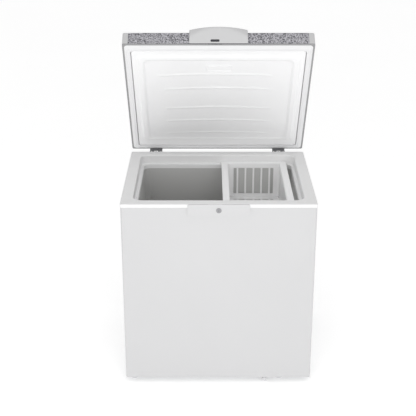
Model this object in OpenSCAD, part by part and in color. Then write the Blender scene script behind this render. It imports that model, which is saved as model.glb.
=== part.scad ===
// Chest freezer: an insulated cabinet with a lid on sprung hinges, a hanging basket that slides
// on the collar's ledge, a key lock and a machine room at the right rear.
// Millimetres. X runs to the right across the front, Y to the rear and Z up from the floor.
// The lid, its hinges and its handle are drawn closed and then turned open about the hinge axis.

/* [Cabinet] */
// Width of the sheet cabinet
body_w = 755; // [620:1:950]
// Depth of the sheet cabinet, front face to back face
body_d = 627; // [560:1:800]
// Height of the cabinet, from its bottom edge to the top of the collar
body_h = 766; // [630:1:950]
// Height of the feet
foot_h = 20; // [20:1:30]
// Thickness of the painted sheet
sheet_t = 1; // [0.8:0.1:1.2]
// Thickness of the insulated walls
wall_t = 57; // [47:1:70]
// Thickness of the insulated floor
floor_t = 59; // [50:1:80]
// Radius of the cabinet's upright corners
case_r = 6; // [4:1:10]
// Radius of the food compartment's upright corners
liner_r = 25; // [15:1:40]

/* [Machine room] */
// Width of the machine room
room_w = 190; // [180:1:240]
// Depth of the machine room, forwards from the back panel
room_d = 420; // [380:1:460]
// Height of the machine room
room_h = 230; // [215:1:280]

/* [Collar] */
// Wall of the moulded collar
collar_t = 3; // [2:0.5:4]
// Height of the collar's lip over the sheet
lip_h = 14; // [10:1:20]
// How far the lip stands out from the sheet
lip_out = 2; // [1:0.5:3]
// Width of the ledge that carries the basket
ledge_w = 13; // [10:1:20]
// Depth of the ledge below the top of the collar
ledge_drop = 39; // [30:1:50]
// Depth of the collar's inner edge below its top
throat_drop = 57; // [52:1:80]

/* [Lid] */
// Thickness of the lid
lid_t = 64; // [52:1:80]
// Angle that the lid stands open at
lid_angle = 57; // [0:1:85]
// How far the lid reaches past the cabinet's front
lid_front = 6; // [5:1:10]
// How far the lid reaches past the cabinet's back
lid_rear = 22; // [20:1:22]
// Gap between the collar and the lid, filled by the seal
seal_gap = 8; // [6:0.5:10]
// Width of the lid's plastic edge on the underside
rim_w = 31; // [28:1:36]
// Width of the white corner caps at the ends of the front band
cap_w = 21; // [16:1:30]
// Distance of the hinge axis behind the cabinet
hinge_back = 23; // [23:1:28]
// Depth of the hinge axis below the top of the collar
hinge_drop = 13; // [10:1:16]
// Distance of each hinge's middle from the cabinet's side
hinge_inset = 105.5; // [60:0.5:160]
// Width of each hinge
hinge_w = 55; // [50:1:65]

/* [Handle and lock] */
// Width of the handle
handle_w = 230; // [180:1:300]
// Reach of the handle's lip in the middle
handle_reach = 32; // [28:1:45]
// Depth of the lock's axis below the top of the collar
lock_drop = 24; // [22:1:26]
// Length of the lock's hook, from the lock's axis
hook_len = 46; // [45:0.5:48]

/* [Basket] */
// Width of the basket over its rim
basket_w = 282; // [220:1:320]
// Height of the basket
basket_h = 160; // [130:1:180]
// Gap between the basket's rim and the collar's right wall
basket_gap = 33.5; // [10:0.5:60]
// Width of the basket's grips, its wide rims at left and right
grip_w = 25; // [18:1:30]

/* [Hidden] */
$fn = 64;
white = [0.93, 0.93, 0.93];
light_grey = [0.82, 0.82, 0.83];
mid_grey = [0.50, 0.50, 0.50];
dark_grey = [0.20, 0.20, 0.21];
metal_grey = [0.55, 0.55, 0.54];
copper = [0.72, 0.42, 0.26];
foam_yellow = [0.90, 0.84, 0.62];
speckle_grey = [0.64, 0.63, 0.65];

eps = 1;             // overshoot of a cut past a face
gap = 0.3;           // gap between parts that meet when the lid shuts
run = 0.05;          // radial clearance of a turning or sliding round part

// Cabinet
half_w = body_w / 2;
inner_x = half_w - sheet_t - wall_t;
inner_y0 = sheet_t + wall_t;
inner_y1 = body_d - sheet_t - wall_t;
pan_z = foot_h + sheet_t;
floor_z = pan_z + floor_t;
collar_z = foot_h + body_h;
plate_z = collar_z - collar_t;
ledge_z = collar_z - ledge_drop;
throat_z = collar_z - throat_drop;
back_y = body_d - sheet_t;           // outer face of the back panel
foam_y1 = back_y - sheet_t;
flange_w = 20;
panel_x = half_w - case_r;
foot_r = 23;
foot_y = foot_r + 25;
foot_left_x = -half_w + foot_r + 9.5;
foot_right_x = half_w - 126.5;

// Machine room and the step that the food compartment makes over it
room_x0 = half_w - sheet_t - room_w;
room_x1 = half_w - sheet_t;
room_y0 = foam_y1 - room_d;
room_z1 = pan_z + room_h;
step_x = room_x0 - wall_t;
step_z = room_z1 + wall_t;

// Service grille with its control pocket, on the right side
grille_lap = 8;
grille_y0 = room_y0 + 25;
grille_y1 = body_d - 40;
grille_z0 = pan_z + 25;
grille_z1 = room_z1 - 20;
grille_t = 1.5;
control_w = 110;
louvre_h = 5;
louvre_pitch = 13;
knob_r = 20;
knob_y = grille_y0 + 45;
knob_z = grille_z1 - 60;
pocket_r = knob_r + 4;
pocket_d = 13;
shaft_r = 3;
lamp_r = 3;
lamp_pitch = 16;

// Compressor
comp_x = (room_x0 + room_x1) / 2;
comp_y = foam_y1 - 135;
comp_r = 62;
comp_h = 160;
grommet_h = 14;
mount_t = 3;
mount_z = pan_z + grommet_h;
comp_z = mount_z + mount_t;
mount_dx = 62;
mount_dy = 56;

// Refrigerant tubes
tube_r = 4;
liner_off = sheet_t + tube_r + 1.6;
evap_z0 = step_z + 22;
evap_turns = 6;
evap_pitch = (throat_z - 30 - evap_z0) / evap_turns;
evap_x = 250;
cond_r = 2.4;
cond_x = half_w - sheet_t - cond_r - 0.2;
cond_rows = 5;
cond_z0 = room_z1 + 49;
cond_pitch = (ledge_z - 47 - cond_z0) / (cond_rows - 1);
cond_left_rows = 7;
cond_left_z1 = 130;
drier_x = room_x0 + 34;
drier_y = foam_y1 - 25;
drier_z = pan_z + 60;
drier_h = 70;

// Drain
plug_x = 60;
plug_y = 110;
plug_r = 14;
drain_gap = 0.1;
cup_h = 24;
spout_x = half_w - 187.5;
spout_y = 74;
spout_z = 11;
spout_r = 6;
spout_bore = 4.5;
spout_end = 3;
neck_r = 7;

// Lid
axis_y = body_d + hinge_back;
axis_z = collar_z - hinge_drop;
lid_x = half_w + 0.75;
lid_y0 = -lid_front;
lid_y1 = body_d + lid_rear;
lid_z0 = collar_z + seal_gap;
lid_z1 = lid_z0 + lid_t;
lid_r = 12;
shell_t = 3;
cap_d = 30;
liner_t = 2;
liner_proud = 3;
plug_proud = 12;
plug_fit = 8;        // gap between the lid's plug and the collar's throat
seal_w = 12;
pad_w = 103;
pad_d = 31;
pad_x = 2.5;
pad_y = lid_y0 + 132;
pad_t = 2;

// Handle
reach_end = 14;
handle_lip = 5;
handle_t = 3;
handle_rise = lid_t - handle_lip;
half_handle = handle_w / 2;
handle_sag = handle_reach - reach_end;
handle_bow = (half_handle * half_handle + handle_sag * handle_sag) / (2 * handle_sag);
handle_screw_x = 90;
handle_screw_z = lid_z0 + 41;

// Lock: a hook swings up from the lock plate into the strike in the handle
lock_z = collar_z - lock_drop;
plate_w = 240;
plate_h = 48;
plate_out = 6.5;
pocket_y = -4.8;
hook_y0 = -4.4;
hook_y1 = -2.6;
barrel_r = 9;
barrel_d = 20;
hook_w = 7;
nose_w = 7;
nose_l = 9;
hub_r = 12;
sweep_r = sqrt(hook_len * hook_len + nose_l * nose_l) + 0.7;
strike_x0 = -sweep_r + 9;
strike_x1 = nose_l + 5;
strike_z0 = lid_z0 + 0.2;
strike_z1 = lock_z + sweep_r + 6;
strike_y1 = 0.5;
catch_z = lock_z + hook_len - nose_w - 1;
window_w = 34;
window_x0 = -31;
window_h = 7.5;
window_z = lid_z0 + 8.5;

// Hinges
hinge_x = half_w - hinge_inset;
pin_r = 4;
knuckle_r = 9;
ear_t = 5;
hinge_plate_t = 3;
hinge_plate_z0 = axis_z - 110;
hinge_plate_z1 = collar_z - lip_h - 2;
leaf_t = 3;
leaf_half = hinge_w / 2 - ear_t - 2;
spring_half = 6.5;
spring_r = 6.6;
wire_r = 1;
spring_turns = 5;
leaf_z1 = lid_z0 + 50;
screw_r = 2;
head_r = 4;
head_t = 1.6;

// Basket
rim_t = 4;
rim_h = 10;
basket_t = 2.5;
basket_x1 = inner_x + ledge_w - basket_gap;
basket_x0 = basket_x1 - basket_w;
basket_y0 = inner_y0 - ledge_w + 1.5;
basket_y1 = inner_y1 + ledge_w - 1.5;
rim_z1 = ledge_z + rim_h;
basket_z0 = rim_z1 - basket_h;
wall_x0 = basket_x0 + grip_w;
wall_x1 = basket_x1 - grip_w;
wall_y0 = inner_y0 + 4;
wall_y1 = inner_y1 - 4;
bar_pitch = 35;
bar_w = 8;
slot_w = bar_pitch - bar_w;
slot_z0 = basket_z0 + 16;
slot_z1 = rim_z1 - 24;
dash_w = 8;
dash_pitch = 20;
basket_r = 14;

// Wall spacers and gland
spacer_r = 11;
spacer_l = 40;
spacer_z = foot_h + 380;
spacer_x = half_w - 120;
gland_x = room_x0 + 100;
gland_z = pan_z + 40;
gland_r = 9;
gland_bore = 4;

// The origin is the middle of the box around the freezer with its lid open, on the floor
front_y = -plate_out - 1.5;
rear_y = axis_y + (lid_y1 - axis_y) * cos(lid_angle) + (lid_z1 - axis_z) * sin(lid_angle);
origin_y = (front_y + rear_y) / 2;

// ---------- helpers ----------

function unit(v) = v / norm(v);

// Points of a bend at corner b between a and c
function bend(a, b, c, r, n) =
    let (p0 = b + r * unit(a - b), p2 = b + r * unit(c - b))
    [for (i = [0:n]) let (t = i / n) pow(1 - t, 2) * p0 + 2 * t * (1 - t) * b + t * t * p2];

// A route through points, with its corners rounded
function route(p, r, n = 4) =
    concat([p[0]], [for (i = [1:len(p) - 2]) each bend(p[i - 1], p[i], p[i + 1], r, n)],
        [p[len(p) - 1]]);

// Direction of a path at point i
function heading(p, i) = unit(p[min(i + 1, len(p) - 1)] - p[max(i - 1, 0)]);

// A ring of a swept tube
function ring(c, t, r, sides, side_axis) =
    let (u = unit(cross(side_axis, t)), v = cross(t, u))
    [for (k = [0:sides - 1]) c + r * (cos(360 * k / sides) * u + sin(360 * k / sides) * v)];

// A tube swept along a path; side_axis is never along the path
module tube(path, r, side_axis, sides = 8) {
    n = len(path);
    points = [for (i = [0:n - 1]) each ring(path[i], heading(path, i), r, sides, side_axis)];
    walls = [for (i = [0:n - 2], k = [0:sides - 1])
        [i * sides + k, (i + 1) * sides + k,
            (i + 1) * sides + (k + 1) % sides, i * sides + (k + 1) % sides]];
    start = [[for (k = [0:sides - 1]) k]];
    end = [[for (k = [sides - 1:-1:0]) (n - 1) * sides + k]];
    polyhedron(points = points, faces = concat(start, walls, end), convexity = 10);
}

// A rectangle with round corners
module rounded(w, d, r = 0) {
    if (r > 0) {
        translate([r, 0]) square([w - 2 * r, d]);
        translate([0, r]) square([w, d - 2 * r]);
        for (x = [r, w - r], y = [r, d - r]) translate([x, y]) circle(r);
    } else {
        square([w, d]);
    }
}

// A box between two corners, with its upright edges rounded
module block(lo, hi, r = 0) {
    size = hi - lo;
    translate(lo) linear_extrude(size.z) rounded(size.x, size.y, r);
}

// A box between two corners, rounded as seen from the front
module front_block(lo, hi, r = 0) {
    size = hi - lo;
    translate([lo.x, hi.y, lo.z]) rotate([90, 0, 0]) linear_extrude(size.y) rounded(size.x, size.z, r);
}

// A box between two corners, rounded as seen from the right side
module side_block(lo, hi, r = 0) {
    size = hi - lo;
    translate(lo) rotate([90, 0, 90]) linear_extrude(size.x) rounded(size.y, size.z, r);
}

// Rods along each axis
module rod_x(r, x0, x1, y, z) {
    translate([x0, y, z]) rotate([0, 90, 0]) cylinder(r = r, h = x1 - x0);
}
module rod_y(r, x, y0, y1, z) {
    translate([x, y0, z]) rotate([-90, 0, 0]) cylinder(r = r, h = y1 - y0);
}
module rod_z(r, x, y, z0, z1) {
    translate([x, y, z0]) cylinder(r = r, h = z1 - z0);
}

// Places its children in the cabinet's frame
module in_cabinet() {
    translate([0, -origin_y, 0]) children();
}

// Places its children on the lid, which stands open
module on_lid() {
    in_cabinet() translate([0, axis_y, axis_z]) rotate([-lid_angle, 0, 0])
        translate([0, -axis_y, -axis_z]) children();
}

// ---------- cabinet shell ----------

// Where the screws of the back panel go
module at_back_screws() {
    for (s = [-1, 1], i = [0:3])
        translate([s * (half_w - flange_w / 2 - 2), 0, foot_h + 70 + i * (body_h - 150) / 3]) children();
}

module outer_wrap() {
    color(white) in_cabinet() difference() {
        block([-half_w, 0, foot_h], [half_w, body_d, plate_z], case_r);
        block([-half_w + sheet_t, sheet_t, foot_h - eps],
            [half_w - sheet_t, back_y, plate_z + eps], case_r - sheet_t);
        block([-half_w + flange_w, foam_y1, foot_h - eps], [half_w - flange_w, body_d + eps, plate_z + eps]);
        side_block([half_w - 2 * sheet_t, grille_y0, grille_z0], [half_w + eps, grille_y1, grille_z1]);
        at_grille_screws() rod_x(screw_r, half_w - 2 * sheet_t, half_w + eps, 0, 0);
        rod_y(barrel_r + 0.5, 0, -eps, 2 * sheet_t, lock_z);
        at_back_screws() rod_y(screw_r, 0, foam_y1, body_d + eps, 0);
    }
}

module back_panel() {
    color(white) in_cabinet() difference() {
        block([-panel_x, foam_y1, pan_z], [panel_x, back_y, plate_z]);
        at_back_screws() rod_y(screw_r, 0, foam_y1 - eps, body_d, 0);
        at_hinge_screws() rod_y(screw_r, 0, foam_y1 - eps, body_d, 0);
        rod_y(gland_r, gland_x, foam_y1 - eps, body_d, gland_z);
        for (s = [-1, 1]) rod_y(screw_r, s * spacer_x, foam_y1 - eps, body_d, spacer_z);
        for (i = [0:8])
            block([room_x0 + 22 + i * 17, foam_y1 - eps, room_z1 - 110],
                [room_x0 + 28 + i * 17, back_y + eps, room_z1 - 30]);
    }
}

module back_panel_screws() {
    color(metal_grey) in_cabinet() at_back_screws() {
        rod_y(head_r, 0, body_d, body_d + head_t, 0);
        rod_y(screw_r - 0.1, 0, foam_y1 - 6, body_d, 0);
    }
}

module base_pan() {
    color(metal_grey) in_cabinet() difference() {
        block([-half_w + sheet_t, sheet_t, foot_h], [half_w - sheet_t, back_y, pan_z], case_r - sheet_t);
        rod_z(neck_r + 0.2, spout_x, spout_y, foot_h - eps, pan_z + eps);
    }
}

// The machine room, or the space that its partition takes
module room_space(grow) {
    block([room_x0 - grow, room_y0 - grow, pan_z], [room_x1, foam_y1, room_z1 + grow]);
}

module machine_partition() {
    color(metal_grey) in_cabinet() difference() {
        room_space(sheet_t);
        block([room_x0, room_y0, pan_z - eps], [room_x1 + eps, foam_y1 + eps, room_z1]);
    }
}

// The food compartment, or the space that its sheet takes
module liner_space(grow, top) {
    difference() {
        block([-inner_x - grow, inner_y0 - grow, floor_z - grow],
            [inner_x + grow, inner_y1 + grow, top], liner_r + grow);
        block([step_x + grow, inner_y0 - grow - eps, floor_z - grow - eps],
            [half_w, inner_y1 + grow + eps, step_z - grow]);
    }
}

module inner_liner() {
    color(metal_grey) in_cabinet() difference() {
        liner_space(sheet_t, throat_z);
        liner_space(0, throat_z + eps);
        rod_z(plug_r + drain_gap, plug_x, plug_y, floor_z - 2 * sheet_t, floor_z + eps);
    }
}

// The collar's throat: upper opening down to the ledge, lower opening down to the liner
module throat_space(grow, z0, z1) {
    upper_x = inner_x + ledge_w + grow;
    block([-upper_x, inner_y0 - ledge_w - grow, ledge_z - grow],
        [upper_x, inner_y1 + ledge_w + grow, z1], liner_r + ledge_w + grow);
    block([-inner_x - grow, inner_y0 - grow, z0],
        [inner_x + grow, inner_y1 + grow, z1], liner_r + grow);
}

module top_collar() {
    color(white) in_cabinet() difference() {
        union() {
            difference() {
                block([-half_w - lip_out, -lip_out, collar_z - lip_h],
                    [half_w + lip_out, body_d + lip_out, collar_z], case_r + lip_out);
                block([-half_w, 0, collar_z - lip_h - eps], [half_w, body_d, plate_z], case_r);
            }
            throat_space(collar_t, throat_z, plate_z);
        }
        throat_space(0, throat_z - eps, collar_z + eps);
    }
}

module foam_insulation() {
    color(foam_yellow) in_cabinet() difference() {
        block([-half_w + sheet_t, sheet_t, pan_z], [half_w - sheet_t, foam_y1, plate_z], case_r - sheet_t);
        throat_space(collar_t, throat_z, plate_z + eps);
        liner_space(sheet_t, throat_z + eps);
        room_space(sheet_t);
        block([room_x1 - eps, room_y0 - sheet_t, pan_z - eps], [half_w, body_d, room_z1 + sheet_t]);
        rod_y(barrel_r + 4, 0, 0, barrel_d + 4, lock_z);
        rod_z(plug_r + 5, plug_x, plug_y, floor_z - sheet_t - cup_h, floor_z);
        at_back_screws() rod_y(screw_r, 0, foam_y1 - 8, body_d, 0);
        at_hinge_screws() rod_y(screw_r, 0, foam_y1 - 14, body_d, 0);
        for (s = [-1, 1]) rod_y(screw_r, s * spacer_x, foam_y1 - 14, body_d, spacer_z);
    }
}

// ---------- machine room ----------

module compressor() {
    seam = comp_h * 0.55;
    color(dark_grey) in_cabinet() translate([comp_x, comp_y, comp_z]) rotate_extrude() polygon([
        [0, 0], [comp_r - 20, 0], [comp_r - 4, 10], [comp_r, 22], [comp_r, seam], [comp_r + 4, seam],
        [comp_r + 4, seam + 4], [comp_r, seam + 4], [comp_r, comp_h - 26], [comp_r - 5, comp_h - 12],
        [comp_r - 20, comp_h - 3], [comp_r - 40, comp_h], [0, comp_h]]);
}

// Where the compressor's four grommets stand
module at_grommets() {
    for (x = [-mount_dx, mount_dx], y = [-mount_dy, mount_dy])
        translate([comp_x + x, comp_y + y, 0]) children();
}

module compressor_base() {
    color(mid_grey) in_cabinet() difference() {
        block([comp_x - mount_dx - 14, comp_y - mount_dy - 14, mount_z],
            [comp_x + mount_dx + 14, comp_y + mount_dy + 14, comp_z], 10);
        at_grommets() rod_z(5.1, 0, 0, mount_z - eps, comp_z + eps);
    }
}

module compressor_grommets() {
    color(dark_grey) in_cabinet() at_grommets() translate([0, 0, pan_z]) rotate_extrude() polygon([
        [2, 0], [10, 0], [10, grommet_h], [5, grommet_h], [5, grommet_h + mount_t],
        [8, grommet_h + mount_t], [8, grommet_h + mount_t + 4], [2, grommet_h + mount_t + 4]]);
}

module terminal_box() {
    color(dark_grey) in_cabinet() difference() {
        block([comp_x - 26, comp_y - comp_r - 28, comp_z + 28], [comp_x + 26, comp_y - comp_r + 8, comp_z + 78], 4);
        rod_z(comp_r, comp_x, comp_y, comp_z, comp_z + comp_h);
    }
}

function discharge_end() = [room_x1 - 30, foam_y1 - 25, pan_z + 180];

module discharge_tube() {
    color(copper) in_cabinet() tube(route([
        [comp_x + 40, comp_y + 40, comp_z + 110], [comp_x + 62, comp_y + 62, comp_z + 110],
        [discharge_end().x, discharge_end().y, comp_z + 110], discharge_end()], 10), tube_r - 1, [1, -0.3, 0.2]);
}

// Round the right wall, across the front and down the left wall, then back to the drier
module condenser_coil() {
    front = 40;
    rear = body_d - 37;
    top = cond_z0 + (cond_rows - 1) * cond_pitch;
    drop = (top - cond_left_z1) / (cond_left_rows - 1);
    right_rows = [for (i = [0:cond_rows - 1], e = [0, 1])
        [cond_x, (i + e) % 2 == 0 ? rear : front, cond_z0 + i * cond_pitch]];
    left_rows = [for (j = [0:cond_left_rows - 1], e = [0, 1])
        [-cond_x, (j + e) % 2 == 0 ? front : rear, top - j * drop]];
    front_y1 = sheet_t + cond_r + 0.2;
    color(copper) in_cabinet() tube(route(concat(
        [discharge_end(), [discharge_end().x, discharge_end().y, cond_z0 - 25], [cond_x, rear + 12, cond_z0 - 22]],
        right_rows, [[cond_x, front_y1, top], [-cond_x, front_y1, top]],
        left_rows, [[-cond_x, rear, cond_left_z1 - 40], [drier_x - 60, drier_y, pan_z + 35],
        [drier_x, drier_y, pan_z + 35], [drier_x, drier_y, drier_z]]), 11, 3), cond_r, [0.31, 0.22, 0.17]);
}

module filter_drier() {
    color(copper) in_cabinet() translate([drier_x, drier_y, drier_z]) rotate_extrude() polygon([
        [0, 0], [4, 0], [9, 10], [9, drier_h - 10], [4, drier_h], [0, drier_h]]);
}

function evap_corner(turn, corner, angle) =
    let (r = liner_r + liner_off, sx = corner == 0 || corner == 1 ? -1 : 1, sy = corner == 0 || corner == 3 ? 1 : -1,
        cx = sx * (inner_x - liner_r), cy = (inner_y0 + inner_y1) / 2 + sy * ((inner_y1 - inner_y0) / 2 - liner_r),
        a = 90 + 90 * corner + angle)
    [cx + r * cos(a), cy + r * sin(a), evap_z0 + evap_pitch * (turn + (corner + angle / 90) / 4)];

function evap_start() = [evap_x, inner_y1 + liner_off, evap_z0];
function evap_end() = [evap_x, inner_y1 + liner_off, evap_z0 + evap_turns * evap_pitch];

module evaporator_coil() {
    color(copper) in_cabinet() tube(concat([evap_start()],
        [for (t = [0:evap_turns - 1], c = [0:3], k = [0:3]) evap_corner(t, c, 30 * k)],
        [evap_end()]), tube_r, [0, 0, 1]);
}

module capillary_tube() {
    top = [drier_x, drier_y, drier_z + drier_h];
    color(copper) in_cabinet() tube(route([
        top, [top.x, top.y, evap_z0 - 45], [top.x + 65, evap_start().y, evap_z0], evap_start()], 15), 1.5,
        [0.2, 1, 0.3]);
}

module suction_tube() {
    down = [evap_x + 50, foam_y1 - 25, comp_z + comp_h + 15];
    aside = evap_x - 34;
    color(copper) in_cabinet() tube(route([
        evap_end(), [aside, evap_end().y, evap_end().z], [aside, down.y, evap_end().z - 24],
        [down.x, down.y, evap_end().z - 60], down, [comp_x + 14, comp_y + 58, comp_z + 130],
        [comp_x + 14, comp_y + 40, comp_z + 130]], 15), tube_r, [0.6, 0.5, 0.3]);
}

// Where the grille's screws go, in its lap over the sheet
module at_grille_screws() {
    for (y = [grille_y0 - grille_lap / 2, grille_y1 + grille_lap / 2], z = [grille_z0 + 12, grille_z1 - 12])
        translate([0, y, z]) children();
}

module at_lamps() {
    for (i = [0:2]) translate([0, knob_y + (i - 1) * lamp_pitch, grille_z1 - 16]) children();
}

module service_grille() {
    louvres = floor((grille_z1 - grille_z0 - 30) / louvre_pitch);
    color(white) in_cabinet() difference() {
        union() {
            side_block([half_w, grille_y0 - grille_lap, grille_z0 - grille_lap],
                [half_w + grille_t, grille_y1 + grille_lap, grille_z1 + grille_lap], 6);
            side_block([half_w - 4, grille_y0, grille_z0], [half_w, grille_y1, grille_z1]);
            rod_x(pocket_r + 2, half_w - pocket_d - 2, half_w, knob_y, knob_z);
        }
        rod_x(pocket_r, half_w - pocket_d, half_w + 2 * eps, knob_y, knob_z);
        rod_x(shaft_r + 0.5, half_w - pocket_d - 3, half_w, knob_y, knob_z);
        at_lamps() rod_x(lamp_r, half_w - 5, half_w + 2 * eps, 0, 0);
        at_grille_screws() rod_x(screw_r, half_w - eps, half_w + 2 * eps, 0, 0);
        for (i = [0:louvres - 1])
            block([half_w - 5, grille_y0 + control_w, grille_z0 + 15 + i * louvre_pitch],
                [half_w + 2 * eps, grille_y1 - 18, grille_z0 + 15 + i * louvre_pitch + louvre_h]);
    }
}

module grille_screws() {
    color(metal_grey) in_cabinet() at_grille_screws() {
        rod_x(3, half_w + grille_t, half_w + lip_out, 0, 0);
        rod_x(screw_r - 0.1, half_w - 8, half_w + grille_t, 0, 0);
    }
}

module indicator_lamps() {
    color("limegreen") in_cabinet() at_lamps() rod_x(lamp_r, half_w - 6, half_w + lip_out, 0, 0);
}

module thermostat() {
    body_x1 = half_w - pocket_d - 2;
    color(light_grey) in_cabinet() {
        side_block([body_x1 - 26, knob_y - 22, knob_z - 17], [body_x1, knob_y + 22, knob_z + 17], 3);
        rod_x(shaft_r, body_x1 - eps / 2, half_w - 3, knob_y, knob_z);
    }
}

module thermostat_knob() {
    color(light_grey) in_cabinet() difference() {
        union() {
            rod_x(knob_r, half_w - pocket_d + 0.5, half_w - 4, knob_y, knob_z);
            side_block([half_w - 4 - eps, knob_y - 3, knob_z - knob_r + 3], [half_w, knob_y + 3, knob_z + knob_r - 3], 2.5);
        }
        rod_x(shaft_r + run, half_w - pocket_d - eps, half_w - 2.5, knob_y, knob_z);
    }
}

module thermostat_bulb() {
    x = half_w - pocket_d - 15;
    color(copper) in_cabinet() tube(route([
        [x, knob_y, knob_z + 17], [x, knob_y, room_z1 + 20], [x - 40, knob_y + 40, step_z - sheet_t - 3],
        [step_x + 60, knob_y + 40, step_z - sheet_t - 3]], 12), 2, [0.1, 1, 0.2]);
}

module power_inlet() {
    color(dark_grey) in_cabinet() translate([gland_x, 0, gland_z]) rotate([-90, 0, 0]) rotate_extrude() polygon([
        [gland_bore, foam_y1 - 5], [gland_r + 3, foam_y1 - 5], [gland_r + 3, foam_y1], [gland_r, foam_y1],
        [gland_r, back_y], [gland_r + 4, back_y], [gland_r + 4, back_y + 2], [gland_r - 2, back_y + 8],
        [gland_bore, back_y + 8]]);
}

// ---------- drain ----------

module drain_cup() {
    z1 = floor_z - sheet_t;
    color(white) in_cabinet() translate([plug_x, plug_y, z1]) rotate_extrude() polygon([
        [spout_bore, -cup_h], [plug_r + 5, -cup_h], [plug_r + 5, 0], [plug_r + drain_gap, 0],
        [plug_r + drain_gap, -cup_h + 3], [spout_bore, -cup_h + 3]]);
}

module drain_plug() {
    color(white) in_cabinet() translate([plug_x, plug_y, floor_z]) rotate_extrude() polygon([
        [0, -16], [plug_r - 1, -16], [plug_r, -14], [plug_r, 0], [plug_r + 4, 0], [plug_r + 4, 2],
        [plug_r + 2, 3], [4, 3], [4, 8], [6, 9], [6, 13], [5, 14], [0, 14]]);
}

module drain_tube() {
    z1 = floor_z - sheet_t - cup_h;
    color(light_grey) in_cabinet() tube(route([
        [plug_x, plug_y, z1], [plug_x, plug_y, z1 - 14], [spout_x, spout_y, z1 - 14], [spout_x, spout_y, pan_z]],
        6, 3), spout_r, [0.1, 1, 0]);
}

module drain_spout() {
    color(light_grey) in_cabinet() difference() {
        union() {
            rod_y(spout_r, spout_x, spout_end, spout_y + neck_r + 3, spout_z);
            rod_z(neck_r, spout_x, spout_y, spout_z, pan_z);
        }
        rod_y(spout_bore, spout_x, spout_end - eps, spout_y + spout_bore + 1, spout_z);
        rod_z(spout_bore - 0.5, spout_x, spout_y, spout_z, pan_z + eps);
    }
}

module drain_cap() {
    color(mid_grey) in_cabinet() difference() {
        rod_y(spout_r + 2.5, spout_x, spout_end - 4, spout_end + 9, spout_z);
        rod_y(spout_r + run, spout_x, spout_end - 0.2, spout_end + 9 + eps, spout_z);
    }
}

// ---------- feet and spacers ----------

module foot(x, y) {
    translate([x, y, 0]) rotate_extrude() polygon([
        [0, 0], [foot_r - 1, 0], [foot_r, 1], [foot_r, 6], [14, 10], [12, foot_h], [0, foot_h]]);
}

module front_feet() {
    color(mid_grey) in_cabinet() {
        foot(foot_left_x, foot_y);
        foot(foot_right_x, foot_y);
    }
}

module rear_feet() {
    color(mid_grey) in_cabinet() for (s = [-1, 1]) foot(s * foot_left_x, body_d - foot_y);
}

module rear_spacers() {
    color(dark_grey) in_cabinet() for (s = [-1, 1]) {
        rod_y(spacer_r, s * spacer_x, back_y, back_y + spacer_l, spacer_z);
        rod_y(screw_r - 0.1, s * spacer_x, foam_y1 - 12, back_y, spacer_z);
    }
}

// ---------- lock ----------

module lock_plate() {
    z0 = collar_z - plate_h;
    color(white) in_cabinet() difference() {
        front_block([-plate_w / 2, -plate_out, z0], [plate_w / 2, 0, collar_z], 6);
        block([-plate_w, -lip_out, collar_z - lip_h], [plate_w, eps, collar_z + eps]);
        intersection() {
            rod_y(sweep_r + 0.5, 0, pocket_y, -lip_out, lock_z);
            block([-sweep_r - eps, pocket_y - eps, lock_z - hub_r - 0.5], [hub_r + 0.5, 0, collar_z + eps]);
        }
        rod_y(barrel_r + run, 0, -plate_out - eps, eps, lock_z);
    }
}

module lock_housing() {
    color(mid_grey) in_cabinet() difference() {
        rod_y(barrel_r + 4, 0, sheet_t, barrel_d + 4, lock_z);
        rod_y(barrel_r + run, 0, 0, barrel_d + 1, lock_z);
    }
}

module lock_cylinder() {
    color(mid_grey) in_cabinet() difference() {
        union() {
            rod_y(barrel_r, 0, -plate_out - 0.1, barrel_d, lock_z);
            rod_y(barrel_r + 1.5, 0, front_y, -plate_out - 0.1, lock_z);
        }
        front_block([-1, front_y - eps, lock_z - 5], [1, -1, lock_z + 5], 0.9);
    }
}

module lock_hook() {
    color(metal_grey) in_cabinet() difference() {
        translate([0, hook_y1, lock_z]) rotate([90, 0, 0]) linear_extrude(hook_y1 - hook_y0) {
            circle(hub_r);
            translate([-hook_len, -hook_w / 2]) square([hook_len, hook_w]);
            translate([-hook_len, 0]) square([nose_w, nose_l]);
        }
        rod_y(barrel_r, 0, hook_y0 - eps, hook_y1 + eps, lock_z);
    }
}

// ---------- lid ----------

// The space of a front corner cap
module cap_space(grow) {
    for (m = [0, 1]) mirror([m, 0, 0])
        block([lid_x - cap_w - grow, lid_y0 - grow, lid_z0 + shell_t], [lid_x + grow, lid_y0 + cap_d + grow, lid_z1 + grow]);
}

// The outer form of the lid
module lid_form(z0, z1) {
    block([-lid_x, lid_y0, z0], [lid_x, lid_y1, z1], lid_r);
}

// The strike's box behind the handle
module strike_box() {
    block([strike_x0 - 2, lid_y0, strike_z0], [strike_x1, strike_y1, strike_z1]);
}

// Where the screws of the handle go, and where those of the hinge leaves go
module at_handle_screws() {
    for (s = [-1, 1]) translate([s * handle_screw_x, 0, handle_screw_z]) children();
}
module at_leaf_screws() {
    for (s = [-1, 1], x = [-13, 13]) translate([s * hinge_x + x, 0, lid_z0 + 36]) children();
}

module lid_skin() {
    color(speckle_grey) on_lid() difference() {
        union() {
            block([-lid_x + shell_t, lid_y0, lid_z1 - sheet_t], [lid_x - shell_t, lid_y1 - shell_t, lid_z1],
                lid_r - shell_t);
            block([-lid_x + cap_w, lid_y0, lid_z0 + shell_t], [lid_x - cap_w, lid_y0 + sheet_t, lid_z1]);
        }
        cap_space(0);
        strike_box();
        at_handle_screws() rod_y(screw_r, 0, lid_y0 - eps, lid_y0 + 2 * eps, 0);
    }
}

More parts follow.
